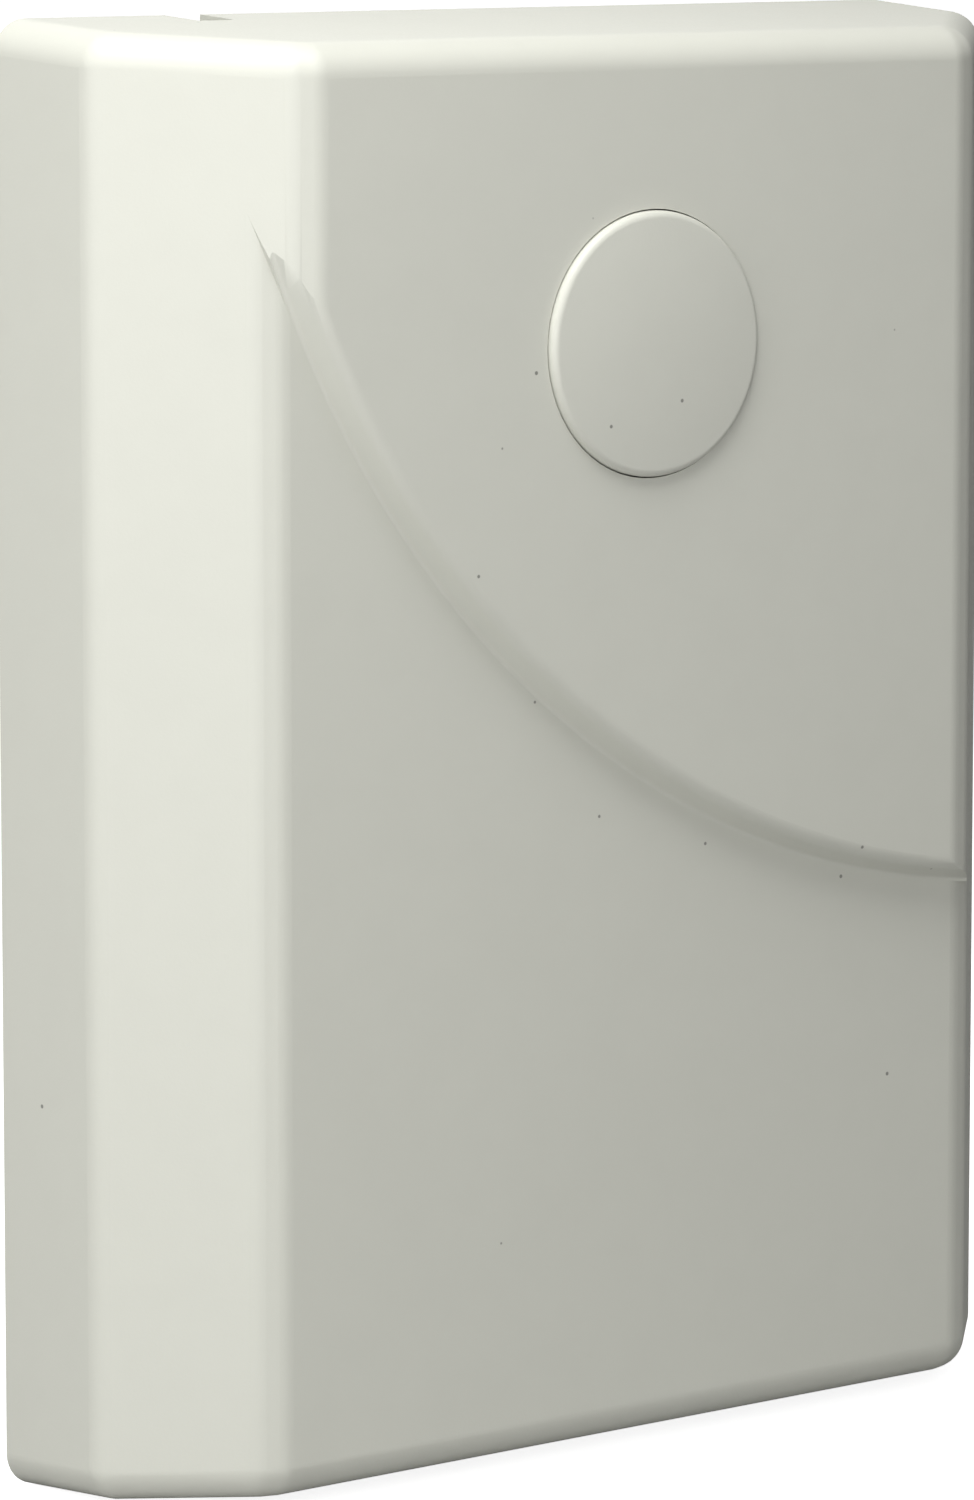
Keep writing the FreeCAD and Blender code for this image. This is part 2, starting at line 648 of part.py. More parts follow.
def make_components():
    """The fixed parts that are soldered to the front of the board."""
    legs = []
    chip_x, chip_y = term(-22), S.board_y + 2
    for side in (-1, 1):
        for index in range(8):
            y = chip_y + (index - 3.5) * 1.27
            foot = box(f"ChipFoot{side + 1}{index}", (chip_x + side * 2.6 - 0.5, chip_x + side * 2.6 + 0.5),
                       (y - 0.2, y + 0.2), (BOARD_TOP, BOARD_TOP + 0.25))
            knee = chip_x + side * 2.15
            shin = box(f"ChipShin{side + 1}{index}", (knee - 0.25, knee + 0.25),
                       (y - 0.2, y + 0.2), (BOARD_TOP, BOARD_TOP + 0.9))
            legs.extend([foot, shin])
    chip = box("ChipCase", (chip_x - 2, chip_x + 2), (chip_y - 5, chip_y + 5),
               (BOARD_TOP + 0.15, BOARD_TOP + 1.65))
    stand("melody_chip", fuse("Chip", chip, *legs))
    can = cut("Can", box("CanOuter", (-30, -14), (S.board_y - 20, S.board_y - 8), (BOARD_TOP, BOARD_TOP + 3)),
              box("CanInner", (-29.7, -14.3), (S.board_y - 19.7, S.board_y - 8.3),
                  (BOARD_TOP - 1, BOARD_TOP + 2.7)))
    stand("receiver_can", can)
    stand("antenna_coil", cut(
        "Antenna", rod_x("AntennaOuter", 2.5, (-9, 9), S.board_y - 19, BOARD_TOP + 3.2),
        rod_x("AntennaInner", 1.9, (-10, 10), S.board_y - 19, BOARD_TOP + 3.2)))
    cans = []
    for index, (x, y, radius, tall) in enumerate(CAPACITORS):
        tin = turned(f"Capacitor{index}", [
            (0, 0), (radius, 0), (radius, 1.4), (radius - 0.25, 1.7), (radius, 2.0), (radius, tall - 0.3),
            (radius - 0.3, tall), (0, tall)])
        cans.append(place(tin, x, S.board_y + y, BOARD_TOP))
    stand("capacitors", group("Capacitors", *cans))
    crystal = fuse("CrystalCan", rod("CrystalLeft", 1.9, -13, S.board_y + 18, (BOARD_TOP, BOARD_TOP + 3.4)),
                   box("CrystalMiddle", (-13, -6), (S.board_y + 16.1, S.board_y + 19.9),
                       (BOARD_TOP, BOARD_TOP + 3.4)),
                   rod("CrystalRight", 1.9, -6, S.board_y + 18, (BOARD_TOP, BOARD_TOP + 3.4)))
    stand("crystal", crystal)
    chips = []
    for index in range(CHIP_RESISTORS):
        x = -10 + 4.2 * (index % 4)
        y = S.board_y - 12.5 + 3.4 * (index // 4)
        chips.append(box(f"Resistor{index}", (x - 1, x + 1), (y - 0.6, y + 0.6),
                         (BOARD_TOP, BOARD_TOP + 0.55)))
    stand("chip_resistors", group("Resistors", *chips))


# ---------------------------------------------------------------- speaker

def make_speaker():
    back = S.seat - 7
    spot = (S.speaker_x, S.speaker_y)
    edge = S.speaker
    frame = turned("Basket", [
        (4.2, back), (10, back), (10.6, back), (edge - 2.6, S.seat), (edge, S.seat),
        (edge, S.seat + S.flange), (edge - 3.1, S.seat + S.flange),
        (10.2, back + 0.9), (4.2, back + 0.9)])
    place(frame, *spot)
    tab_x, tab_y = speaker_tab(21.5)
    tab = box("Tab", (tab_x - 3, tab_x + 3), (tab_y - 3, tab_y + 3), (S.seat, S.seat + S.flange))
    stand("speaker_frame", fuse("BasketWithTab", frame, tab))
    magnet = turned("Magnet", [
        (0, 2.9), (8.0, 2.9), (8.5, 3.4), (8.5, back), (3.9, back), (3.9, back + 2.2),
        (0, back + 2.2)])
    stand("speaker_magnet", place(magnet, *spot))
    rim = S.seat + S.flange
    cone = turned("Cone", [
        (5.2, back + 2.4), (5.6, back + 2.4), (edge - 4.2, rim - 0.1), (edge - 3.6, rim + 0.35),
        (edge - 2.4, rim), (edge - 1.2, rim), (edge - 1.2, rim + 0.3), (edge - 2.3, rim + 0.3),
        (edge - 3.5, rim + 0.75), (edge - 4.6, rim + 0.2), (6.2, back + 3.4), (0, back + 5.6),
        (0, back + 5.2), (5.2, back + 3.2)])
    stand("speaker_cone", place(cone, *spot))
    gasket = turned("Gasket", [
        (edge - 2.2, rim + 0.3), (edge - 1.0, rim + 0.3), (edge - 1.0, rim + 1.8), (edge - 2.2, rim + 1.8)])
    stand("speaker_gasket", place(gasket, *spot))
    screws = []
    for index, (x, y) in enumerate(speaker_posts()):
        fixing = screw(f"SpeakerScrew{index}", 3.9, (rim, rim + 1.5), SCREW_SHANK, rim - 8, recess=1.2)
        screws.append(place(fixing, x, y))
    stand("speaker_screws", group("SpeakerScrews", *screws))


# ---------------------------------------------------------------- batteries

def make_batteries():
    left, right = S.bay_x, S.bay_x + S.bay_long
    plate = CONTACT
    cells = []
    springs = []
    plates = []
    for index in (-1, 0, 1):
        y = S.cells_y + S.cell_pitch * index
        toward = 1 if index else -1
        nub_end = left if toward > 0 else right
        far_end = right if toward > 0 else left
        tip = nub_end + toward * (plate + 0.6)
        start = tip + toward * 1.2
        end = start + toward * S.cell_long
        low, high = (start, end) if toward > 0 else (end, start)
        nub = (tip, start + 0.2) if toward > 0 else (start - 0.2, tip)
        cells.append(fuse(f"Cell{index + 1}", rod_x(f"CellCan{index + 1}", S.cell, (low, high), y, CELL_Z),
                          rod_x(f"CellNub{index + 1}", 2.65, nub, y, CELL_Z)))
        inside = far_end - toward * plate
        span = (end + toward * 0.05, inside) if toward > 0 else (inside, end + toward * 0.05)
        springs.append(cut(f"Spring{index + 1}", rod_x(f"SpringOuter{index + 1}", 3.6, span, y, CELL_Z),
                           rod_x(f"SpringInner{index + 1}", 2.8, (span[0] - 1, span[1] + 1), y, CELL_Z)))
        for end_x, inward in ((left, 1), (right, -1)):
            face = (end_x, end_x + plate) if inward > 0 else (end_x - plate, end_x)
            plates.append(box(f"Plate{index + 1}{inward + 1}", face, (y - 5.6, y + 5.6),
                              (S.tray_wall + 0.6, CONTACT_TOP)))
        bump_low, bump_high = (nub_end + plate - 0.1, tip) if toward > 0 else (tip, nub_end - plate + 0.1)
        plates.append(rod_x(f"Bump{index + 1}", 1.8, (bump_low, bump_high), y, CELL_Z))
    stand("battery_cells", group("Cells", *cells))
    stand("battery_springs", group("Springs", *springs))
    stand("contact_plates", fuse("Plates", *plates))


# ---------------------------------------------------------------- wires

def wire_route(points):
    """A path of straight runs joined by tangent arcs, and the radii of those arcs.

    Each arc is as large as its two runs allow.
    """
    edges = []
    bends = []
    start = points[0]
    for before, here, after in zip(points, points[1:], points[2:]):
        reach = ARC_SHARE * min((before - here).Length, (after - here).Length)
        back = (before - here).normalize()
        ahead = (after - here).normalize()
        half = back.getAngle(ahead) / 2
        bend = reach * math.tan(half)
        inward = (back + ahead).normalize()
        centre = here + inward * (bend / math.sin(half))
        enter = here + back * reach
        leave = here + ahead * reach
        edges.append(Part.LineSegment(start, enter).toShape())
        edges.append(Part.Arc(enter, centre - inward * bend, leave).toShape())
        bends.append(bend)
        start = leave
    edges.append(Part.LineSegment(start, points[-1]).toShape())
    return Part.Wire(edges), bends


def lead(name, points):
    """One insulated lead, swept along its route."""
    radius = S.lead.number
    route, bends = wire_route([Vector(*point) for point in points])
    along = route.Edges[0].tangentAt(route.Edges[0].FirstParameter)
    ring = Part.Wire(Part.Circle(Vector(*points[0]), along, radius).toShape())
    tube = doc.addObject("Part::Feature", name)
    tube.Shape = route.makePipeShell([ring], True, True)
    share = tube.Shape.Volume / (math.pi * radius ** 2 * route.Length)
    radii = ", ".join(f"{bend:.1f}" for bend in bends)
    print(f"{name}: length {route.Length:.1f} mm, bend radii {radii} mm,",
          f"volume over section x length {share:.3f}")
    return tube


def drop_lead(name, pad, rest_x, rest_y, rest_z):
    """A lead that rises from a pad on the board, runs down the casing and drops on a tab."""
    top = BOARD_TOP.number
    pad_x, pad_y = pad
    low, high = top + 3, rest_z + 2.7
    return lead(name, [
        (pad_x, pad_y, top), (pad_x, pad_y, low), (pad_x, pad_y - 11, low),
        (rest_x, rest_y + 7, high), (rest_x, rest_y, high), (rest_x, rest_y, rest_z)])


def make_leads():
    pad_y = (S.board_y - S.board_tall / 2).number + 2
    tab_x, tab_y = [value.number for value in speaker_tab(22.0)]
    tab_top = (S.seat + S.flange).number
    pair = [drop_lead(f"SpeakerLead{side + 1}", (-15 + side, pad_y), tab_x + 0.9 * side, tab_y, tab_top)
            for side in (-1, 1)]
    stand("speaker_leads", group("SpeakerLeads", *pair))
    left = (S.bay_x + CONTACT / 2).number
    right = (S.bay_x + S.bay_long - CONTACT / 2).number
    cell_y = (S.cells_y + S.cell_pitch).number
    pair = [drop_lead("NegativeLead", (-3, pad_y), left, cell_y + 2.5, CONTACT_TOP),
            drop_lead("PositiveLead", (28.5, pad_y), right, cell_y + 2.5, CONTACT_TOP)]
    stand("battery_leads", group("BatteryLeads", *pair))


# ---------------------------------------------------------------- build, check and write

make_front_cover()
make_back_plate()
make_button()
make_retainer()
make_board()
make_push_switch()
make_volume_switch()
make_components()
make_speaker()
make_batteries()
make_leads()
doc.recompute()

for thing in doc.Objects:
    if {"Invalid", "Error"} & set(thing.State):
        raise SystemExit(f"{thing.Name} failed: {thing.State}")
for piece in nodes:
    if piece.Shape.isNull() or not piece.Shape.isValid() or not piece.Shape.Solids:
        raise SystemExit(f"{piece.Label} has no valid shape")

os.makedirs("parts", exist_ok=True)
for piece in nodes:
    piece.Shape.exportStep(f"parts/{piece.Label}.step")
    print(f"{piece.Label}: {len(piece.Shape.Solids)} solid(s), {piece.Shape.Volume:.0f} mm3")
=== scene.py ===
"""The looks of a battery-powered wall door chime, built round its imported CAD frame.

Everything is in metres in the frame's own axes: the wall is the plane Y = 0, the front
faces -Y and Z is up. Places and sizes come from the boxes of the CAD nodes.
"""
import math
import random

import bmesh
import bpy
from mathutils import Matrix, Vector


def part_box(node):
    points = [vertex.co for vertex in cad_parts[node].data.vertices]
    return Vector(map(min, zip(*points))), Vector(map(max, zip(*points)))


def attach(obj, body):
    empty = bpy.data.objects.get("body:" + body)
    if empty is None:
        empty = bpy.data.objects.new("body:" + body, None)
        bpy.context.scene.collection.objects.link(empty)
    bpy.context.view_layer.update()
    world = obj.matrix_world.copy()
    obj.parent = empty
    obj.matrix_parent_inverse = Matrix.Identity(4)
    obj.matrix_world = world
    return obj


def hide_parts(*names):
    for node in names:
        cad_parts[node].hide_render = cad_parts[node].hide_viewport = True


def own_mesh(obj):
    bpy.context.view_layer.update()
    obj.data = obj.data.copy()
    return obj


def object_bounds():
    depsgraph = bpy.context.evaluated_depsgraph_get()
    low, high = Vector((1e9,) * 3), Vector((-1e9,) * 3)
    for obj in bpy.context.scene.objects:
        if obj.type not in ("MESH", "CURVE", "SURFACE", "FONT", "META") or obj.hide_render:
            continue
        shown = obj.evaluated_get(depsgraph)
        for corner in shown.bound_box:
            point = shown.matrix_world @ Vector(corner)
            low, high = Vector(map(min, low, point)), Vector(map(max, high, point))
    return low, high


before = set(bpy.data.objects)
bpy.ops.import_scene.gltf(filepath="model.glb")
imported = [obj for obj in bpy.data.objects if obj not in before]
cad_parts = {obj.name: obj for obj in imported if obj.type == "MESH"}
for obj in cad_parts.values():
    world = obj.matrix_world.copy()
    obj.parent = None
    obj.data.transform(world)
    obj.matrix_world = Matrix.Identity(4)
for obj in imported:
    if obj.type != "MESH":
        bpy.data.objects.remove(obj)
CAD_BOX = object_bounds()

MM = 0.001
OUT = Vector((0, -1, 0))  # away from the wall
INTO = Vector((0, 1, 0))  # towards the wall
UP = Vector((0, 0, 1))
RIGHT = Vector((1, 0, 0))

BOARD_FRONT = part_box("circuit_board")[0].y
CASING_TONE = (0.632, 0.636, 0.568)

SHARP = math.radians(35)      # edges over this angle stay hard on the pieces made here
CAD_SHARP = math.radians(48)  # the same on the CAD nodes that stay
SHANK = 0.85 * MM             # outer radius of a screw's thread
COIL_STEPS = 28               # points in one turn of a coil
VIEW = (-37.95, 6.75)         # azimuth and elevation of the camera, in degrees
MIX_COLOURS = (6, 7)          # a Mix node's two colour inputs
MIX_RESULT = 2                # and its colour output


# ---------------------------------------------------------------- node materials

class Nodes:
    """One node material, and short ways to add nodes in front of its Principled shader."""

    def __init__(self, name, **constants):
        self.material = bpy.data.materials.new(name)
        self.material.use_nodes = True
        self.tree = self.material.node_tree
        self.shader = self.tree.nodes["Principled BSDF"]
        for socket, value in constants.items():
            self.shader.inputs[socket.replace("_", " ")].default_value = value
        self.coordinates = self.tree.nodes.new("ShaderNodeTexCoord")
        self.place = self.coordinates.outputs["Object"]

    def add(self, kind, settings=None, **inputs):
        """A node, its settings, and its inputs as numbers or as outputs of other nodes."""
        node = self.tree.nodes.new(kind)
        for name, value in (settings or {}).items():
            setattr(node, name, value)
        for name, value in inputs.items():
            self.feed(node.inputs[name.replace("_", " ")], value)
        return node

    def feed(self, socket, value):
        if isinstance(value, bpy.types.NodeSocket):
            self.tree.links.new(value, socket)
        else:
            socket.default_value = value

    def drive(self, **sockets):
        """Join outputs to the shader's own sockets."""
        for name, value in sockets.items():
            self.feed(self.shader.inputs[name.replace("_", " ")], value)

    def stretched(self, x, y, z):
        """The surface's own coordinates, drawn out or pressed together along each axis."""
        return self.add("ShaderNodeMapping", Vector=self.place, Scale=(x, y, z)).outputs["Vector"]

    def noise(self, grain, detail=2.0, place=None, rough=0.5):
        """Noise from 0 to 1 whose lumps are about one grain across, in metres."""
        return self.add("ShaderNodeTexNoise", Vector=place or self.place, Scale=1 / grain,
                        Detail=detail, Roughness=rough).outputs["Fac"]

    def between(self, value, low, high, start=0.0, end=1.0):
        """value mapped from low..high to start..end, and held there."""
        return self.add("ShaderNodeMapRange", {"interpolation_type": "SMOOTHSTEP"},
                        Value=value, From_Min=low, From_Max=high, To_Min=start, To_Max=end).outputs["Result"]

    def math(self, operation, first, second=0.0):
        node = self.add("ShaderNodeMath", {"operation": operation})
        self.feed(node.inputs[0], first)
        self.feed(node.inputs[1], second)
        return node.outputs["Value"]

    def mixed(self, share, first, second):
        """Two colours mixed by a share from 0 to 1."""
        node = self.add("ShaderNodeMix", {"data_type": "RGBA"})
        self.feed(node.inputs["Factor"], share)
        for index, value in zip(MIX_COLOURS, (first, second)):
            colour = value if isinstance(value, bpy.types.NodeSocket) else (*value, 1.0)
            self.feed(node.inputs[index], colour)
        return node.outputs[MIX_RESULT]

    def axes(self, source=None):
        """X, Y and Z of the surface's own coordinates, or of another vector."""
        return self.add("ShaderNodeSeparateXYZ", Vector=source or self.place).outputs

    def bump(self, height, depth, under=None):
        """Relief of a given depth, in metres, from a height between 0 and 1."""
        node = self.add("ShaderNodeBump", Height=height, Distance=depth)
        if under is not None:
            self.feed(node.inputs["Normal"], under)
        return node.outputs["Normal"]

    def relief(self, *layers):
        """Several (height, depth) layers of relief, joined to the shader."""
        normal = None
        for height, depth in layers:
            normal = self.bump(height, depth, normal)
        self.drive(Normal=normal)


def shade_of(colour, factor):
    return tuple(min(1.0, part * factor) for part in colour)


def moulded_plastic(name, colour, rough, grain=0.32 * MM, specks=False):
    """Injection-moulded plastic: fine spark texture, faint flow marks, uneven tone."""
    nodes = Nodes(name)
    cloud = nodes.noise(45 * MM, 3.0)
    drift = nodes.noise(6 * MM, 2.0)
    tone = nodes.mixed(cloud, shade_of(colour, 0.985), shade_of(colour, 1.015))
    tone = nodes.mixed(nodes.between(drift, 0.3, 0.8, 0.0, 0.5), tone, shade_of(colour, 0.975))
    if specks:
        cell = 8 * MM
        dots = nodes.add("ShaderNodeTexVoronoi", Vector=nodes.place, Scale=1 / cell)
        size = 0.16 * MM / cell
        dot = nodes.between(dots.outputs["Distance"], size, size * 1.6, 0.75, 0.0)
        tone = nodes.mixed(dot, tone, shade_of(colour, 0.18))
    texture = nodes.noise(grain, 3.0, rough=0.6)
    nodes.drive(Base_Color=tone, Roughness=nodes.between(texture, 0.25, 0.75, rough - 0.05, rough + 0.07))
    nodes.relief((nodes.noise(22 * MM, 1.0), 0.05 * MM), (texture, 0.010 * MM))
    return nodes.material


def plated_metal(name, colour, rough, grain=0.25 * MM, along=(1, 1, 1)):
    """Plated or drawn metal: fine lines along one axis, faint stains."""
    nodes = Nodes(name, Metallic=1.0)
    lines = nodes.noise(grain, 4.0, nodes.stretched(*along), 0.65)
    stain = nodes.noise(3 * MM, 3.0)
    tone = nodes.mixed(nodes.between(stain, 0.35, 0.75), shade_of(colour, 1.05), shade_of(colour, 0.86))
    nodes.drive(Base_Color=tone, Roughness=nodes.between(lines, 0.3, 0.7, rough - 0.08, rough + 0.12))
    nodes.relief((lines, 0.006 * MM))
    return nodes.material


def solder_mask():
    """Green solder mask over a woven glass board whose sawn edges show bare laminate."""
    nodes = Nodes("solder_mask", Coat_Weight=0.4, Coat_Roughness=0.12)
    weave = nodes.add("ShaderNodeTexBrick", Vector=nodes.place, Scale=1 / (1.1 * MM), Mortar_Size=0.04)
    cloud = nodes.noise(9 * MM, 3.0)
    mask = nodes.mixed(cloud, (0.010, 0.115, 0.045), (0.018, 0.165, 0.065))
    facing = nodes.math("ABSOLUTE", nodes.axes(nodes.coordinates.outputs["Normal"])["Y"])
    tone = nodes.mixed(nodes.between(facing, 0.2, 0.6), (0.42, 0.38, 0.20), mask)
    nodes.drive(Base_Color=tone, Roughness=nodes.between(cloud, 0.3, 0.7, 0.28, 0.40))
    nodes.relief((weave.outputs["Fac"], 0.004 * MM), (nodes.noise(0.4 * MM), 0.004 * MM))
    return nodes.material


def masked_copper():
    """A copper track under green mask: the same green, lighter."""
    nodes = Nodes("masked_copper", Coat_Weight=0.4, Coat_Roughness=0.12)
    cloud = nodes.noise(5 * MM, 2.0)
    nodes.drive(Base_Color=nodes.mixed(cloud, (0.03, 0.24, 0.09), (0.05, 0.31, 0.12)),
                Roughness=nodes.between(cloud, 0.3, 0.7, 0.25, 0.36))
    nodes.relief((nodes.noise(0.3 * MM), 0.004 * MM))
    return nodes.material


def soft_coat(name, colour, rough, grain=0.6 * MM, depth=0.01 * MM):
    """A plain dull or satin coat, such as a sleeve, ink, paint or rubber."""
    nodes = Nodes(name)
    cloud = nodes.noise(4 * MM, 3.0)
    texture = nodes.noise(grain, 3.0)
    nodes.drive(Base_Color=nodes.mixed(cloud, shade_of(colour, 0.88), shade_of(colour, 1.12)),
                Roughness=nodes.between(texture, 0.3, 0.7, rough - 0.05, rough + 0.06))
    nodes.relief((texture, depth))
    return nodes.material


def cone_paper():
    """Pressed black paper: felted fibres and a dull fuzz."""
    nodes = Nodes("cone_paper", Sheen_Weight=0.3)
    fibre = nodes.noise(0.35 * MM, 5.0, rough=0.75)
    nodes.drive(Base_Color=nodes.mixed(fibre, (0.012, 0.012, 0.013), (0.060, 0.058, 0.055)),
                Roughness=nodes.between(fibre, 0.3, 0.7, 0.75, 0.95))
    nodes.relief((fibre, 0.05 * MM))
    return nodes.material


def open_foam():
    """Open-cell foam: small pores all over, with painted shade in the pores."""
    nodes = Nodes("open_foam")
    pore = nodes.add("ShaderNodeTexVoronoi", Vector=nodes.place, Scale=1 / (0.35 * MM)).outputs["Distance"]
    # painted shade: each pore is near black at its middle, and lighter on the skin between the pores
    skin_past_pore_shade = nodes.between(pore, 0.1, 0.6)
    nodes.drive(Base_Color=nodes.mixed(skin_past_pore_shade, (0.006, 0.006, 0.006), (0.055, 0.055, 0.058)),
                Roughness=nodes.between(pore, 0.1, 0.6, 0.98, 0.85))
    nodes.relief((pore, 0.12 * MM))
    return nodes.material


def wire_sleeve(name, first, second, divide):
    """Soft wire insulation: first left of a divide along X, second right of it."""
    nodes = Nodes(name, Coat_Weight=0.1)
    side = nodes.between(nodes.axes()["X"], divide - 0.1 * MM, divide + 0.1 * MM)
    scuff = nodes.noise(1.2 * MM, 3.0)
    tone = nodes.mixed(side, first, second)
    tone = nodes.mixed(nodes.between(scuff, 0.5, 0.8, 0.0, 0.25), tone, (0.35, 0.33, 0.32))
    nodes.drive(Base_Color=tone, Roughness=nodes.between(scuff, 0.3, 0.7, 0.38, 0.52))
    nodes.relief((nodes.noise(0.5 * MM), 0.008 * MM))
    return nodes.material


def cell_jacket(ends):
    """Printed film round a cell: a dark body with a pale band next to its positive end.

    ends holds (low x, high x) of the pale bands.
    """
    nodes = Nodes("cell_jacket", Coat_Weight=0.5, Coat_Roughness=0.1)
    along = nodes.axes()["X"]
    band = None
    for low, high in ends:
        inside = nodes.math("MULTIPLY", nodes.math("GREATER_THAN", along, low),
                            nodes.math("LESS_THAN", along, high))
        band = inside if band is None else nodes.math("MAXIMUM", band, inside)
    cloud = nodes.noise(8 * MM, 2.0)
    body = nodes.mixed(cloud, (0.020, 0.045, 0.090), (0.030, 0.060, 0.115))
    nodes.drive(Base_Color=nodes.mixed(band, body, (0.55, 0.56, 0.58)),
                Roughness=nodes.between(cloud, 0.3, 0.7, 0.26, 0.36))
    nodes.relief((nodes.noise(1.5 * MM), 0.01 * MM))
    return nodes.material


M = {
    "casing": moulded_plastic("casing_plastic", CASING_TONE, 0.46, specks=True),
    "retainer": moulded_plastic("retainer_nylon", (0.075, 0.078, 0.082), 0.52),
    "black": moulded_plastic("black_moulding", (0.018, 0.018, 0.020), 0.48, grain=0.15 * MM),
    "white": moulded_plastic("white_acetal", (0.76, 0.76, 0.73), 0.38),
    "zinc": plated_metal("zinc_plate", (0.62, 0.63, 0.64), 0.30),
    "spring": plated_metal("spring_steel", (0.50, 0.50, 0.49), 0.26),
    "nickel": plated_metal("nickel_strip", (0.66, 0.63, 0.58), 0.24, along=(1, 1, 8)),
    "tin": plated_metal("tinned_solder", (0.70, 0.71, 0.72), 0.22, grain=0.5 * MM),
    "can": plated_metal("drawn_can", (0.68, 0.68, 0.68), 0.28, along=(6, 1, 1)),
    "copper": plated_metal("enamelled_copper", (0.72, 0.30, 0.12), 0.30),
    "board": solder_mask(),
    "track": masked_copper(),
    "ink": soft_coat("board_ink", (0.72, 0.72, 0.69), 0.6),
    "sleeve": soft_coat("capacitor_film", (0.012, 0.016, 0.045), 0.30),
    "stripe": soft_coat("capacitor_stripe", (0.50, 0.52, 0.56), 0.32),
    "basket": soft_coat("basket_paint", (0.020, 0.020, 0.022), 0.42, depth=0.02 * MM),
    "ferrite": soft_coat("ferrite", (0.035, 0.034, 0.034), 0.62, grain=0.25 * MM, depth=0.02 * MM),
    "resistor": soft_coat("resistor_glaze", (0.016, 0.016, 0.018), 0.25),
    "cone": cone_paper(),
    "foam": open_foam(),
}


# ---------------------------------------------------------------- mesh building

def piece(name, mesh, body, slot, materials, *replaced):
    """A finished mesh as a piece of the object, riding on its body."""
    made = bpy.data.objects.new(name, mesh)
    bpy.context.scene.collection.objects.link(made)
    for material in materials:
        mesh.materials.append(material)
    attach(made, body)
    if replaced:
        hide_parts(*replaced)
    return made


def paint(node, *materials):
    """New materials for a CAD node that stays as it is."""
    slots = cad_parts[node].data.materials
    slots.clear()
    for material in materials:
        slots.append(material)


def solids(node):
    """(low, high) corners of each separate solid of a CAD node, from left to right and upwards."""
    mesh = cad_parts[node].data
    root = {}

    def find(key):
        while root[key] != key:
            root[key] = root[root[key]]
            key = root[key]
        return key

    keys = [tuple(round(value * 1e6) for value in vertex.co) for vertex in mesh.vertices]
    for key in keys:
        root[key] = key
    for face in mesh.polygons:
        first = find(keys[face.vertices[0]])
        for vertex in face.vertices[1:]:
            root[find(keys[vertex])] = first
    boxes = {}
    for key, vertex in zip(keys, mesh.vertices):
        low, high = boxes.setdefault(find(key), (vertex.co.copy(), vertex.co.copy()))
        for axis in range(3):
            low[axis] = min(low[axis], vertex.co[axis])
            high[axis] = max(high[axis], vertex.co[axis])
    return sorted(boxes.values(), key=lambda pair: (round(pair[0].x, 4), round(pair[0].z, 4)))


def middle(low, high):
    return (low + high) / 2


def to_mesh(name, bm, smooth=True):
    """A mesh from a bmesh, with soft shading and hard edges over SHARP."""
    bmesh.ops.recalc_face_normals(bm, faces=bm.faces)
    mesh = bpy.data.meshes.new(name)
    bm.to_mesh(mesh)
    bm.free()
    if smooth:
        mesh.polygons.foreach_set("use_smooth", [True] * len(mesh.polygons))
        mesh.set_sharp_from_angle(angle=SHARP)
    return mesh


def basis(axis):
    """Two unit directions at right angles to an axis and to each other."""
    across = axis.cross(UP) if abs(axis.dot(UP)) < 0.9 else axis.cross(RIGHT)
    across.normalize()
    return across, axis.cross(across)


def lathe(bm, outline, centre, axis, steps=48, closed=False):
    """Turn an outline of (radius, height) corners about an axis through a centre."""
    across, over = basis(axis)
    rings = []
    for radius, height in outline:
        if radius < 1e-9:
            rings.append([bm.verts.new(centre + axis * height)])
            continue
        ring = []
        for step in range(steps):
            angle = 2 * math.pi * step / steps
            spoke = across * math.cos(angle) + over * math.sin(angle)
            ring.append(bm.verts.new(centre + axis * height + spoke * radius))
        rings.append(ring)
    pairs = list(zip(rings, rings[1:]))
    if closed:
        pairs.append((rings[-1], rings[0]))
    for first, second in pairs:
        for step in range(steps):
            corners = [first[step % len(first)], first[(step + 1) % len(first)],
                       second[(step + 1) % len(second)], second[step % len(second)]]
            corners = list(dict.fromkeys(corners))
            if len(corners) > 2:
                bm.faces.new(corners)
    return bm


def rounded(corners, radius):
    """An open outline whose inner corners are rounded, as (radius, height) points."""
    steps = 4
    points = [Vector(corner) for corner in corners]
    result = [points[0]]
    for before, here, after in zip(points, points[1:], points[2:]):
        reach = min(radius, (before - here).length * 0.45, (after - here).length * 0.45)
        start = here + (before - here).normalized() * reach
        end = here + (after - here).normalized() * reach
        for step in range(steps + 1):
            share = step / steps
            result.append(start * (1 - share) ** 2 + here * 2 * share * (1 - share) + end * share ** 2)
    result.append(points[-1])
    return [tuple(point) for point in result]


def bevelled_block(bm, low, high, bevel, segments=2):
    """A box between two corners with rounded edges."""
    size = high - low
    made = bmesh.ops.create_cube(bm, size=1.0)
    verts = made["verts"]
    bmesh.ops.scale(bm, vec=size, verts=verts)
    bmesh.ops.translate(bm, vec=middle(low, high), verts=verts)
    edges = list({edge for vert in verts for edge in vert.link_edges})
    bmesh.ops.bevel(bm, geom=edges, offset=bevel, segments=segments, profile=0.5, affect="EDGES")
    return bm


def tube(bm, points, radius, sides=10):
    """A closed round tube along points, with its section carried from point to point without a twist."""
    points = [Vector(point) for point in points]
    heading = (points[1] - points[0]).normalized()
    across, _ = basis(heading)
    rings = []
    for index, point in enumerate(points):
        before = points[max(index - 1, 0)]
        after = points[min(index + 1, len(points) - 1)]
        heading = (after - before).normalized()
        across = (across - heading * across.dot(heading)).normalized()
        over = heading.cross(across)
        rings.append([bm.verts.new(point + (across * math.cos(angle) + over * math.sin(angle)) * radius)
                      for angle in (2 * math.pi * side / sides for side in range(sides))])
    for first, second in zip(rings, rings[1:]):
        for side in range(sides):
            following = (side + 1) % sides
            bm.faces.new([first[side], first[following], second[following], second[side]])
    bm.faces.new(list(reversed(rings[0])))
    bm.faces.new(rings[-1])
    return bm


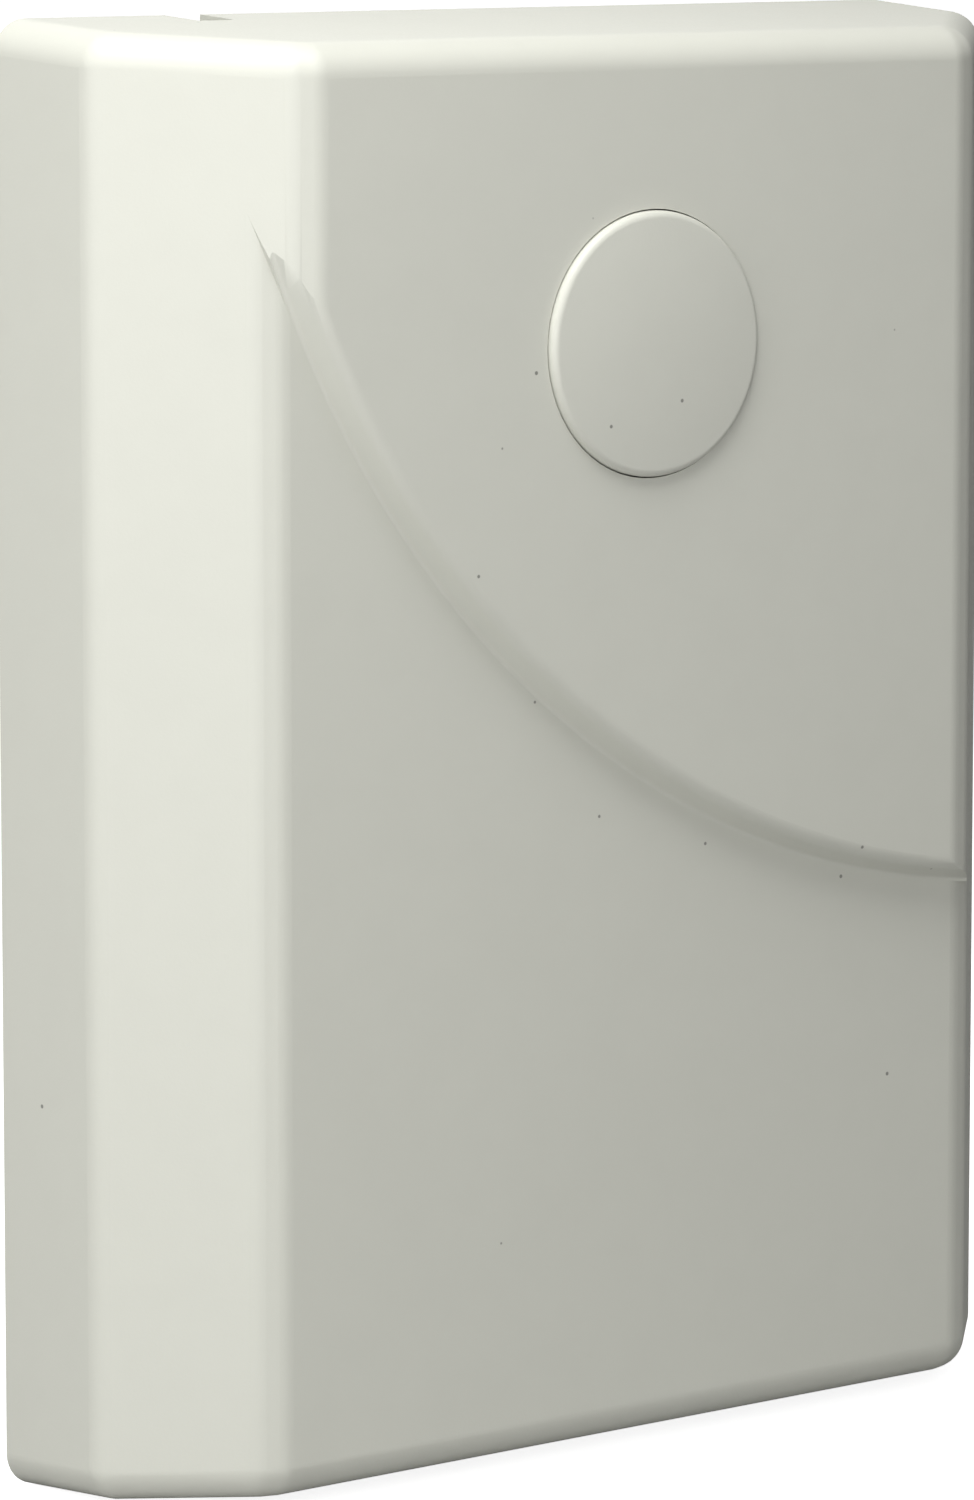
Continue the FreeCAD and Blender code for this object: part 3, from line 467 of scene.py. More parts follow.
def helix(start, axis, length, radius_at, turn_at, steps):
    """Points of a coil: radius and turns so far are functions of the share of its steps."""
    across, over = basis(axis)
    points = []
    for step in range(steps + 1):
        share = step / steps
        turns, rise = turn_at(share)
        angle = 2 * math.pi * turns
        spoke = across * math.cos(angle) + over * math.sin(angle)
        points.append(start + axis * (length * rise) + spoke * radius_at(share))
    return points


def closed_ends(turns, dead):
    """Turns and rise of a compression spring whose first and last turns lie flat."""
    def turn_at(share):
        done = turns * share
        rise = (done - dead) / (turns - 2 * dead)
        return done, min(1.0, max(0.0, rise))
    return turn_at


def subtract(mesh, tool):
    """mesh with the closed mesh tool cut out of it."""
    base = bpy.data.objects.new("cut_base", mesh)
    cutter = bpy.data.objects.new("cut_tool", tool)
    for made in (base, cutter):
        bpy.context.scene.collection.objects.link(made)
    step = base.modifiers.new("cut", "BOOLEAN")
    step.operation = "DIFFERENCE"
    step.solver = "EXACT"
    step.object = cutter
    bpy.context.view_layer.update()
    evaluated = base.evaluated_get(bpy.context.evaluated_depsgraph_get())
    result = bpy.data.meshes.new_from_object(evaluated)
    for made in (base, cutter):
        bpy.data.objects.remove(made)
    result.polygons.foreach_set("use_smooth", [True] * len(result.polygons))
    result.set_sharp_from_angle(angle=SHARP)
    return result


# ---------------------------------------------------------------- screws and springs

def screws(node, body, head_high, head_out):
    """Cross-recess pan-head screws with rolled threads, one in the place of each CAD screw."""
    facing = OUT if head_out else INTO
    bodies, recesses = bmesh.new(), bmesh.new()
    for low, high in solids(node):
        centre = middle(low, high)
        head_radius = (high.x - low.x) / 2
        top = low.y if head_out else high.y
        reach = high.y - low.y
        crown = Vector((centre.x, top, centre.z))
        head = [(0, 0), (head_radius * 0.55, -0.02 * head_radius), (head_radius * 0.9, -0.28 * head_high),
                (head_radius, -0.62 * head_high), (head_radius, -head_high), (SHANK, -head_high)]
        tip = [(SHANK * 0.78, -head_high), (SHANK * 0.78, -reach + 1.6 * MM), (0.1 * MM, -reach), (0, -reach)]
        lathe(bodies, rounded(head, 0.25 * MM) + tip, crown, facing, 40)
        ridge_start = crown - facing * (head_high + 0.4 * MM)
        ridge_long = reach - head_high - 1.2 * MM
        turns = ridge_long / (0.75 * MM)
        ridge = helix(ridge_start, -facing, ridge_long,
                      lambda share: SHANK * (0.84 if share < 0.8 else 0.84 - (share - 0.8) * 2.4),
                      lambda share, turns=turns: (turns * share, share), int(turns * 16))
        tube(bodies, ridge, 0.13 * MM, 6)
        for wing, side in ((RIGHT, UP), (UP, RIGHT)):
            wedge(recesses, crown, facing, wing * head_radius * 0.52, side * head_radius * 0.13,
                  head_high * 0.75)
    mesh = subtract(to_mesh(node, bodies), to_mesh("recess", recesses))
    piece(node + "_detail", mesh, body, "zinc_steel", [M["zinc"]], node)


def wedge(bm, crown, facing, half_long, half_wide, depth):
    """A bar that narrows downwards: one arm of a cross recess."""
    top = crown + facing * 0.4 * MM
    low = crown - facing * depth
    rings = []
    for centre, size in ((top, 1.0), (low, 0.45)):
        rings.append([bm.verts.new(centre + half_long * size * a + half_wide * size * b)
                      for a, b in ((1, 1), (-1, 1), (-1, -1), (1, -1))])
    for side in range(4):
        following = (side + 1) % 4
        bm.faces.new([rings[0][side], rings[0][following], rings[1][following], rings[1][side]])
    bm.faces.new(rings[0])
    bm.faces.new(list(reversed(rings[1])))


def button_spring():
    """Compression spring round the button's stem, with closed ends."""
    low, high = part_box("button_spring")
    wire = 0.4 * MM
    radius = (high.x - low.x) / 2 - wire
    start = Vector((middle(low, high).x, high.y - wire, middle(low, high).z))
    length = high.y - low.y - 2 * wire
    turns, dead = 8.0, 1.0
    points = helix(start, OUT, length, lambda share: radius, closed_ends(turns, dead),
                   int(turns * COIL_STEPS))
    made = piece("button_spring_coil", to_mesh("button_spring_coil", tube(bmesh.new(), points, wire)),
                 "cover", "zinc_steel", [M["spring"]], "button_spring")
    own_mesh(made)


def battery_springs():
    """Conical coils that press on the flat end of each cell."""
    bay = middle(*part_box("contact_plates"))
    bm = bmesh.new()
    wire = 0.34 * MM
    turns, dead = 4.5, 0.8
    steps = 130
    for low, high in solids("battery_springs"):
        centre = middle(low, high)
        plate_right = centre.x > bay.x
        plate_x = high.x if plate_right else low.x
        axis = -RIGHT if plate_right else RIGHT
        wide = (high.z - low.z) / 2 - wire
        start = Vector((plate_x, centre.y, centre.z)) + axis * wire
        points = helix(start, axis, high.x - low.x - 2 * wire,
                       lambda share: wide * (1 - 0.42 * share), closed_ends(turns, dead), steps)
        tube(bm, points, wire)
    piece("battery_spring_coils", to_mesh("battery_spring_coils", bm), "base", "zinc_steel", [M["spring"]],
          "battery_springs")


def antenna_coil():
    """Air-cored aerial coil: spaced turns and two legs that go down to the board."""
    low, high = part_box("antenna_coil")
    wire = 0.3 * MM
    radius = (high.z - low.z) / 2 - wire
    centre = middle(low, high)
    start = Vector((low.x + wire, centre.y, centre.z))
    turns = 14
    points = helix(start, RIGHT, high.x - low.x - 2 * wire, lambda share: radius,
                   lambda share: (turns * share, share), turns * COIL_STEPS)
    first, last = points[0], points[-1]
    legs = [Vector((end.x, BOARD_FRONT, end.z)) for end in (first, last)]
    bm = tube(bmesh.new(), [legs[0]] + points + [legs[1]], wire)
    piece("antenna_windings", to_mesh("antenna_windings", bm), "base", "copper", [M["copper"]],
          "antenna_coil")


# ---------------------------------------------------------------- cells and speaker

def cells():
    """Round cells with a shrunk film jacket, rolled ends, a raised cap and a flat base."""
    jackets, caps = bmesh.new(), bmesh.new()
    bands = []
    bay = middle(*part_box("contact_plates")).x
    for low, high in solids("battery_cells"):
        centre = middle(low, high)
        radius = (high.z - low.z) / 2
        nub = 1.2 * MM
        nub_left = abs(low.x + nub - bay) > abs(high.x - nub - bay)
        axis = RIGHT if nub_left else -RIGHT
        tip = Vector((low.x if nub_left else high.x, centre.y, centre.z))
        length = high.x - low.x
        film = [(radius - 1.3 * MM, nub), (radius - 0.5 * MM, nub), (radius, nub + 0.6 * MM),
                (radius, length - 0.6 * MM), (radius - 0.5 * MM, length), (radius - 1.2 * MM, length)]
        lathe(jackets, rounded(film, 0.5 * MM), tip, axis, 64)
        shoulder = nub + 0.3 * MM
        plus = [(0, 0), (2.6 * MM, 0), (2.65 * MM, shoulder), (radius - 1.0 * MM, shoulder),
                (radius - 0.9 * MM, nub + 0.8 * MM)]
        face = length - 0.05 * MM
        minus = [(radius - 1.0 * MM, length - 0.5 * MM), (radius - 1.4 * MM, length - 0.3 * MM),
                 (radius - 2.0 * MM, face), (0, face)]
        for cap in (plus, minus):
            lathe(caps, rounded(cap, 0.3 * MM), tip, axis, 48)
        ends = sorted([(tip + axis * nub).x, (tip + axis * (nub + 9 * MM)).x])
        bands.append(tuple(ends))
    jacket = cell_jacket(sorted(set((round(a, 5), round(b, 5)) for a, b in bands)))
    piece("cell_jackets", to_mesh("cell_jackets", jackets), "base", "cell_jacket", [jacket], "battery_cells")
    piece("cell_ends", to_mesh("cell_ends", caps), "base", "zinc_steel", [M["nickel"]], "battery_cells")


def speaker():
    """Ribbed paper cone with a rolled surround and a domed dust cap, and a foam ring."""
    low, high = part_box("speaker_cone")
    centre = middle(low, high)
    radius = (high.x - low.x) / 2
    front = Vector((centre.x, low.y, centre.z))
    deep = high.y - low.y
    cap = 6.2 * MM
    cone_in, cone_out = cap + 0.2 * MM, radius - 3.2 * MM
    profile = []
    dome_steps = 8
    for step in range(dome_steps + 1):
        share = step / dome_steps
        profile.append((cap * share, (-1.7 - 1.9 * share ** 2) * MM))
    neck, mouth = -3.9 * MM, -1.0 * MM
    ribs, rib_steps = 5, 10
    for step in range(ribs * rib_steps + 1):
        share = step / (ribs * rib_steps)
        wave = 0.10 * MM * math.sin(share * ribs * 2 * math.pi)
        profile.append((cone_in + (cone_out - cone_in) * share, neck + (mouth - neck) * share ** 1.25 + wave))
    roll_wide, roll_high, roll_steps = 2.2 * MM, 0.95 * MM, 12
    for step in range(1, roll_steps + 1):
        share = step / roll_steps
        profile.append((cone_out + roll_wide * share, mouth + roll_high * math.sin(share * math.pi)))
    profile.append((radius, mouth - 0.05 * MM))
    back = [(radius, mouth - 0.35 * MM), (cone_out, -1.7 * MM), (5.4 * MM, -deep), (0, -deep)]
    bm = lathe(bmesh.new(), profile + back, front, OUT, 96)
    piece("speaker_membrane", to_mesh("speaker_membrane", bm), "base", "cone_paper", [M["cone"]],
          "speaker_cone")

    low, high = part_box("speaker_gasket")
    outer = (high.x - low.x) / 2
    inner = outer - 1.2 * MM
    thick = high.y - low.y
    ring = [(inner, 0), (inner, -thick), (outer, -thick), (outer, 0)]
    points = rounded([ring[-1]] + ring + [ring[0]], 0.25 * MM)[1:-1]
    bm = lathe(bmesh.new(), points, Vector((centre.x, low.y, centre.z)), OUT, 96, closed=True)
    foam = piece("speaker_foam_ring", to_mesh("speaker_foam_ring", bm), "base", "foam", [M["foam"]],
                 "speaker_gasket")


# ---------------------------------------------------------------- circuit board

TRACK = 0.16 * MM         # half width of a signal track
COPPER = 0.03 * MM        # how far tracks and pads stand up
PITCH = 1.27 * MM         # chip legs
CORNER = 0.8 * MM         # slanted corner of a track


def chip():
    """Moulded chip with a pin-one dimple and two rows of gull-wing legs."""
    low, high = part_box("melody_chip")
    centre = middle(low, high)
    case_low = Vector((centre.x - 2.0 * MM, low.y, low.z))
    case_high = Vector((centre.x + 2.0 * MM, BOARD_FRONT - 0.15 * MM, high.z))
    mesh = to_mesh("chip_case", bevelled_block(bmesh.new(), case_low, case_high, 0.14 * MM))
    dimple = lathe(bmesh.new(), [(0, 0.3 * MM), (0.4 * MM, 0.3 * MM), (0.36 * MM, -0.1 * MM), (0, -0.1 * MM)],
                   Vector((case_low.x + 0.8 * MM, low.y, case_high.z - 0.8 * MM)), OUT, 24)
    mesh = subtract(mesh, to_mesh("dimple", dimple))
    piece("chip_case", mesh, "base", "black_plastic", [M["black"]], "melody_chip")
    bm = bmesh.new()
    rows = 8
    half = (high.x - low.x) / 2
    for side in (-1, 1):
        for index in range(rows):
            z = centre.z + (index - (rows - 1) / 2) * PITCH
            line = [(1.85 * MM, 0.85 * MM), (2.2 * MM, 0.85 * MM), (2.42 * MM, 0.7 * MM),
                    (2.5 * MM, 0.25 * MM), (2.68 * MM, 0.09 * MM), (half - 0.02 * MM, 0.09 * MM)]
            ribbon(bm, [Vector((centre.x + side * x, BOARD_FRONT - y, z)) for x, y in line],
                   UP * 0.2 * MM, 0.08 * MM)
    piece("chip_legs", to_mesh("chip_legs", bm), "base", "zinc_steel", [M["tin"]], "melody_chip")


def ribbon(bm, points, half_wide, half_thick):
    """A flat strip bent along points that lie in one plane."""
    wide = half_wide.normalized()
    rings = []
    for index, point in enumerate(points):
        heading = (points[min(index + 1, len(points) - 1)] - points[max(index - 1, 0)]).normalized()
        over = heading.cross(wide) * half_thick
        rings.append([bm.verts.new(point + half_wide * a + over * b)
                      for a, b in ((1, 1), (-1, 1), (-1, -1), (1, -1))])
    for first, second in zip(rings, rings[1:]):
        for side in range(4):
            following = (side + 1) % 4
            bm.faces.new([first[side], first[following], second[following], second[side]])
    bm.faces.new(list(reversed(rings[0])))
    bm.faces.new(rings[-1])


def capacitors():
    """Electrolytic cans: grooved film sleeve, pale polarity stripe and a scored metal top."""
    sleeves, tops, stripes = bmesh.new(), bmesh.new(), bmesh.new()
    for low, high in solids("capacitors"):
        centre = middle(low, high)
        radius = (high.x - low.x) / 2
        tall = high.y - low.y
        foot = Vector((centre.x, high.y, centre.z))
        side = [(radius - 0.5 * MM, 0), (radius, 0), (radius, 1.2 * MM), (radius - 0.28 * MM, 1.6 * MM),
                (radius, 2.0 * MM), (radius, tall - 0.05 * MM), (radius - 0.7 * MM, tall - 0.05 * MM)]
        lathe(sleeves, rounded(side, 0.3 * MM), foot, OUT, 56)
        lathe(tops, [(radius - 0.6 * MM, tall - 0.3 * MM), (radius - 0.8 * MM, tall - 0.12 * MM),
                     (0, tall - 0.12 * MM)], foot, OUT, 48)
        for turn in (0, 1):
            along = RIGHT if turn else UP
            beam = along * (radius - 1.0 * MM)
            cross = (UP if turn else RIGHT) * 0.07 * MM
            centre_top = foot + OUT * (tall - 0.11 * MM)
            ribbon(tops, [centre_top - beam, centre_top + beam], cross, 0.03 * MM)
        across, over = basis(OUT)
        ring = []
        stripe_half, stripe_steps = 24, 8
        for step in range(stripe_steps + 1):
            angle = math.radians(stripe_half * (2 * step / stripe_steps - 1))
            spoke = across * math.cos(angle) + over * math.sin(angle)
            ring.append([foot + OUT * height + spoke * (radius + 0.012 * MM)
                         for height in (2.3 * MM, tall - 0.5 * MM)])
        verts = [[stripes.verts.new(point) for point in pair] for pair in ring]
        for first, second in zip(verts, verts[1:]):
            stripes.faces.new([first[0], second[0], second[1], first[1]])
    for name, bm, slot, material in (("capacitor_sleeves", sleeves, "capacitor_sleeve", "sleeve"),
                                     ("capacitor_tops", tops, "crystal_can", "can"),
                                     ("capacitor_stripes", stripes, "capacitor_sleeve", "stripe")):
        piece(name, to_mesh(name, bm), "base", slot, [M[material]], "capacitors")


def obround(low, high, inset):
    """Outline of a long rounded shape in the board's plane, as (x, z) points."""
    steps = 14
    radius = (high.z - low.z) / 2 - inset
    left, right = low.x + inset + radius, high.x - inset - radius
    z = middle(low, high).z
    points = []
    for centre_x, start in ((right, -90), (left, 90)):
        for step in range(steps + 1):
            angle = math.radians(start + 180 * step / steps)
            points.append((centre_x + radius * math.cos(angle), z + radius * math.sin(angle)))
    return points


def crystal():
    """Quartz crystal: a drawn obround can with a rounded top and a welded foot flange."""
    low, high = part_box("crystal")
    tall = high.y - low.y
    levels = [(0.0, 0.0), (0.0, 0.35 * MM), (0.35 * MM, 0.45 * MM), (0.35 * MM, tall - 0.5 * MM),
              (0.5 * MM, tall - 0.15 * MM), (0.85 * MM, tall)]
    bm = bmesh.new()
    rings = []
    for inset, rise in levels:
        rings.append([bm.verts.new((x, high.y - rise, z)) for x, z in obround(low, high, inset)])
    for first, second in zip(rings, rings[1:]):
        for index in range(len(first)):
            following = (index + 1) % len(first)
            bm.faces.new([first[index], first[following], second[following], second[index]])
    bm.faces.new(rings[0])
    bm.faces.new(rings[-1])
    piece("crystal_shell", to_mesh("crystal_shell", bm), "base", "crystal_can", [M["can"]], "crystal")


def resistors():
    """Chip resistors: glazed bodies with tinned ends."""
    bodies, ends = bmesh.new(), bmesh.new()
    for low, high in solids("chip_resistors"):
        cap = 0.38 * MM
        bevelled_block(bodies, low + Vector((cap * 0.8, 0.02 * MM, 0.02 * MM)),
                       high - Vector((cap * 0.8, 0, 0.02 * MM)), 0.04 * MM)
        bevelled_block(ends, low, Vector((low.x + cap, high.y, high.z)), 0.06 * MM)
        bevelled_block(ends, Vector((high.x - cap, low.y, low.z)), high, 0.06 * MM)
    piece("resistor_bodies", to_mesh("resistor_bodies", bodies), "base", "black_plastic", [M["resistor"]],
          "chip_resistors")
    piece("resistor_ends", to_mesh("resistor_ends", ends), "base", "zinc_steel", [M["tin"]], "chip_resistors")


def receiver_can():
    """Folded shield over the radio: rounded box with two rows of vent holes."""
    low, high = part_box("receiver_can")
    shell = to_mesh("receiver_shield", bevelled_block(bmesh.new(), low, high, 0.35 * MM, 3))
    holes = bmesh.new()
    columns, rows = 6, 3
    for column in range(columns):
        for row in range(rows):
            x = low.x + (high.x - low.x) * (column + 1) / (columns + 1)
            z = low.z + (high.z - low.z) * (row + 1) / (rows + 1)
            lathe(holes, [(0, 0.2 * MM), (0.5 * MM, 0.2 * MM), (0.5 * MM, -0.5 * MM), (0, -0.5 * MM)],
                  Vector((x, low.y, z)), OUT, 20)
    mesh = subtract(shell, to_mesh("vents", holes))
    piece("receiver_shield", mesh, "base", "zinc_steel", [M["can"]], "receiver_can")


def switch_trim():
    """Plated top plate of the push switch with four black studs, and the tinned legs of both switches."""
    low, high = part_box("switch_body")
    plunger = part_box("switch_plunger")
    hole_radius = (plunger[1].x - plunger[0].x) / 2 + 0.25 * MM
    centre = middle(low, high)
    bm = bmesh.new()
    bevelled_block(bm, Vector((low.x + 0.15 * MM, low.y - 0.12 * MM, low.z + 0.15 * MM)),
                   Vector((high.x - 0.15 * MM, low.y + 0.05 * MM, high.z - 0.15 * MM)), 0.04 * MM)
    hole = lathe(bmesh.new(), [(0, MM), (hole_radius, MM), (hole_radius, -MM), (0, -MM)],
                 Vector((centre.x, low.y, centre.z)), OUT, 40)
    mesh = subtract(to_mesh("switch_plate", bm), to_mesh("plate_hole", hole))
    piece("switch_plate", mesh, "base", "zinc_steel", [M["zinc"]])
    studs = bmesh.new()
    for x in (low.x + 0.75 * MM, high.x - 0.75 * MM):
        for z in (low.z + 0.75 * MM, high.z - 0.75 * MM):
            lathe(studs, rounded([(0, 0.32 * MM), (0.4 * MM, 0.32 * MM), (0.4 * MM, 0)], 0.15 * MM),
                  Vector((x, low.y, z)), OUT, 20)
    piece("switch_studs", to_mesh("switch_studs", studs), "base", "black_plastic", [M["black"]])
    legs = bmesh.new()
    for node in ("switch_body", "volume_switch"):
        low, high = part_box(node)
        for x, side in ((low.x, -1), (high.x, 1)):
            for z in (low.z + 0.9 * MM, high.z - 0.9 * MM):
                line = [(0, 0.9 * MM), (0.35 * MM, 0.8 * MM), (0.45 * MM, 0.3 * MM), (0.8 * MM, 0.08 * MM),
                        (1.4 * MM, 0.08 * MM)]
                ribbon(legs, [Vector((x + side * out, BOARD_FRONT - rise, z)) for out, rise in line],
                       UP * 0.3 * MM, 0.07 * MM)
    piece("switch_legs", to_mesh("switch_legs", legs), "base", "zinc_steel", [M["tin"]])


def flat_strip(bm, points, half_wide, surface, rise):
    """A flat track on the board through (x, z) points, mitred at its corners."""
    points = [Vector((x, z)) for x, z in points]
    rails = []
    for index, point in enumerate(points):
        before, after = points[max(index - 1, 0)], points[min(index + 1, len(points) - 1)]
        ahead = (after - point).normalized() if after != point else (point - before).normalized()
        behind = (point - before).normalized() if before != point else ahead
        mitre = Vector((-(ahead + behind).y, (ahead + behind).x)).normalized()
        share = half_wide / max(0.4, mitre.dot(Vector((-ahead.y, ahead.x))))
        rails.append((point + mitre * share, point - mitre * share))
    layers = []
    for level in (surface, surface - rise):
        layers.append([[bm.verts.new((side.x, level, side.y)) for side in pair] for pair in rails])
    low, top = layers
    for index in range(len(points) - 1):
        bm.faces.new([top[index][0], top[index + 1][0], top[index + 1][1], top[index][1]])
        for side in (0, 1):
            bm.faces.new([low[index][side], low[index + 1][side], top[index + 1][side], top[index][side]])
    for end in (0, -1):
        bm.faces.new([low[end][0], low[end][1], top[end][1], top[end][0]])


def board_tracks():
    """Copper tracks under the mask: chip to resistors, stubs to its left, a bus and two rails."""
    low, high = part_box("circuit_board")
    chance = random.Random(7)
    tracks = bmesh.new()
    chip_low, chip_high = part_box("melody_chip")
    chip_mid = middle(chip_low, chip_high)
    resistor_row = solids("chip_resistors")
    legs = 8
    for index in range(legs):
        z = chip_mid.z + (index - (legs - 1) / 2) * PITCH
        target = resistor_row[index % len(resistor_row)]
        end_x, end_z = target[0].x - 0.3 * MM, middle(*target).z
        start_x = chip_high.x + 0.2 * MM
        turn = start_x + (2.2 + 0.9 * index) * MM
        route = [(start_x, z), (turn, z), (turn + CORNER, z - CORNER)]
        if end_x > turn + 3 * CORNER:
            route += [(turn + CORNER, end_z + CORNER), (turn + 2 * CORNER, end_z), (end_x, end_z)]
        else:
            route += [(turn + CORNER, end_z)]
        flat_strip(tracks, route, TRACK, low.y, COPPER)
        left = chip_low.x - 0.2 * MM
        bend_x = left - chance.uniform(3.0, 8.0) * MM
        rise = chance.choice((-1, 1)) * chance.uniform(2.0, 6.0) * MM
        slant = math.copysign(CORNER, rise)
        flat_strip(tracks, [(left, z), (bend_x, z), (bend_x - CORNER, z + slant),
                            (bend_x - CORNER, z + slant + rise)], TRACK, low.y, COPPER)
    margin = 11 * MM
    for line in range(5):
        z = high.z - (1.6 + 1.1 * line) * MM
        flat_strip(tracks, [(low.x + margin + 2 * MM * line, z), (2 * MM, z), (4 * MM, z - 2 * MM),
                            (high.x - margin, z - 2 * MM)], TRACK, low.y, COPPER)
    for side in (-1, 1):
        x = side * (high.x - 1.2 * MM)
        flat_strip(tracks, [(x, low.z + 9 * MM), (x, high.z - 9 * MM)], 3 * TRACK, low.y, COPPER)
    piece("board_tracks", to_mesh("board_tracks", tracks, smooth=False), "base", "board_green",
          [M["track"]])


def solder_joints():
    """Solder joints of the leads and the aerial, as (x, z, radius).

    The two joints of the speaker leads stand 0.5 to 0.7 mm right of the leads' own ends.
    """
    bay = middle(*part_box("battery_leads")).x
    inset = 0.6 * MM
    joints = []
    for low, high in solids("speaker_leads") + solids("battery_leads"):
        outward = low.x < -abs(bay) or low.x > abs(bay)
        joints.append((low.x + inset if outward else high.x - inset, high.z - inset, 0.95 * MM))
    low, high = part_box("antenna_coil")
    joints += [(x, high.z - 0.3 * MM, 0.7 * MM) for x in (low.x + 0.3 * MM, high.x - 0.3 * MM)]
    return joints


def board_pads():
    """Solder joints, plated through holes and the bare rings under the board's screws."""
    low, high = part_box("circuit_board")
    chance = random.Random(11)
    pads = bmesh.new()
    for x, z, size in solder_joints():
        fillet = [(0, 0.75 * MM), (size * 0.45, 0.62 * MM), (size * 0.6, 0.3 * MM), (size, 0.04 * MM),
                  (size, 0)]
        lathe(pads, fillet, Vector((x, low.y, z)), OUT, 28)
    through_hole = [(0.2 * MM, 0.005 * MM), (0.24 * MM, COPPER), (0.42 * MM, COPPER), (0.45 * MM, 0)]
    for _ in range(26):
        x = chance.uniform(low.x + 6 * MM, high.x - 6 * MM)
        z = chance.uniform(low.z + 4 * MM, high.z - 4 * MM)
        lathe(pads, through_hole, Vector((x, low.y, z)), OUT, 18)
    ring = [(1.5 * MM, 0.0), (1.5 * MM, COPPER), (3.1 * MM, COPPER), (3.1 * MM, 0)]
    for part_low, part_high in solids("board_screws"):
        centre = middle(part_low, part_high)
        lathe(pads, ring, Vector((centre.x, low.y, centre.z)), OUT, 40)
    piece("board_pads", to_mesh("board_pads", pads), "base", "zinc_steel", [M["tin"]])


def board_ink():
    """Printed outlines round the parts, without letters."""
    thick = 0.02 * MM
    ink = bmesh.new()
    for node in ("melody_chip", "receiver_can", "crystal", "switch_body", "volume_switch", "antenna_coil"):
        low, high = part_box(node)
        margin = 0.7 * MM
        left, right = low.x - margin, high.x + margin
        down, up = low.z - margin, high.z + margin
        corners = [(left, down), (right, down), (right, up), (left, up), (left, down)]
        for line in zip(corners, corners[1:]):
            flat_strip(ink, line, 0.09 * MM, BOARD_FRONT, thick)
    for low, high in solids("capacitors"):
        inner = (high.x - low.x) / 2 + 0.5 * MM
        outer = inner + 0.18 * MM
        centre = middle(low, high)
        lathe(ink, [(inner, 0), (inner, thick), (outer, thick), (outer, 0)],
              Vector((centre.x, BOARD_FRONT, centre.z)), OUT, 48)
    piece("board_outlines", to_mesh("board_outlines", ink, smooth=False), "base", "board_green",
          [M["ink"]])


# ---------------------------------------------------------------- CAD nodes that stay

def even_shading(node):
    """Shade a CAD mesh by its flats: its seams joined, its true corners kept."""
    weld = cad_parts[node].modifiers.new("weld", "WELD")
    weld.merge_threshold = 0.001 * MM
    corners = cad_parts[node].modifiers.new("corners", "EDGE_SPLIT")
    corners.split_angle = CAD_SHARP
    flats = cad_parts[node].modifiers.new("flats", "WEIGHTED_NORMAL")
    flats.weight = 50
    flats.keep_sharp = True


def dress_frame():
    """Materials for the CAD nodes whose shape is already right."""
    for node in ("front_cover", "back_plate", "push_button"):
        paint(node, M["casing"])
        even_shading(node)
    paint("button_retainer", M["retainer"])
    paint("circuit_board", M["board"])
    for node in ("switch_body", "volume_switch"):
        paint(node, M["black"])
    for node in ("volume_knob", "switch_plunger"):
        paint(node, M["white"])
    paint("contact_plates", M["nickel"])
    paint("speaker_frame", M["basket"])
    paint("speaker_magnet", M["ferrite"])
    paint("speaker_leads", wire_sleeve("speaker_wire", (0.30, 0.31, 0.33), (0.75, 0.75, 0.73),
                                       middle(*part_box("speaker_leads")).x))
    between_leads = 10 * MM
    paint("battery_leads", wire_sleeve("battery_wire", (0.012, 0.012, 0.013), (0.42, 0.018, 0.014),
                                       between_leads))


# ---------------------------------------------------------------- stage, light and camera

def towards(target, place):
    return (place - target).to_track_quat("Z", "Y")


def orbit(target, azimuth, elevation, distance):
    """A point round a target: azimuth 0 stands in front of the casing, 90 on its right."""
    turn, tilt = math.radians(azimuth), math.radians(elevation)
    away = Vector((math.sin(turn) * math.cos(tilt), -math.cos(turn) * math.cos(tilt), math.sin(tilt)))
    return target + away * distance


def area_light(name, azimuth, elevation, distance, size, power):
    """A round white lamp that faces the middle of the casing."""
    data = bpy.data.lights.new(name, "AREA")
    data.shape = "DISK"
    data.size = size
    data.energy = power
    light = bpy.data.objects.new(name, data)
    bpy.context.scene.collection.objects.link(light)
    centre = middle(*CAD_BOX)
    light.location = orbit(centre, azimuth, elevation, distance)
    light.rotation_mode = "QUATERNION"
    light.rotation_quaternion = towards(centre, light.location)


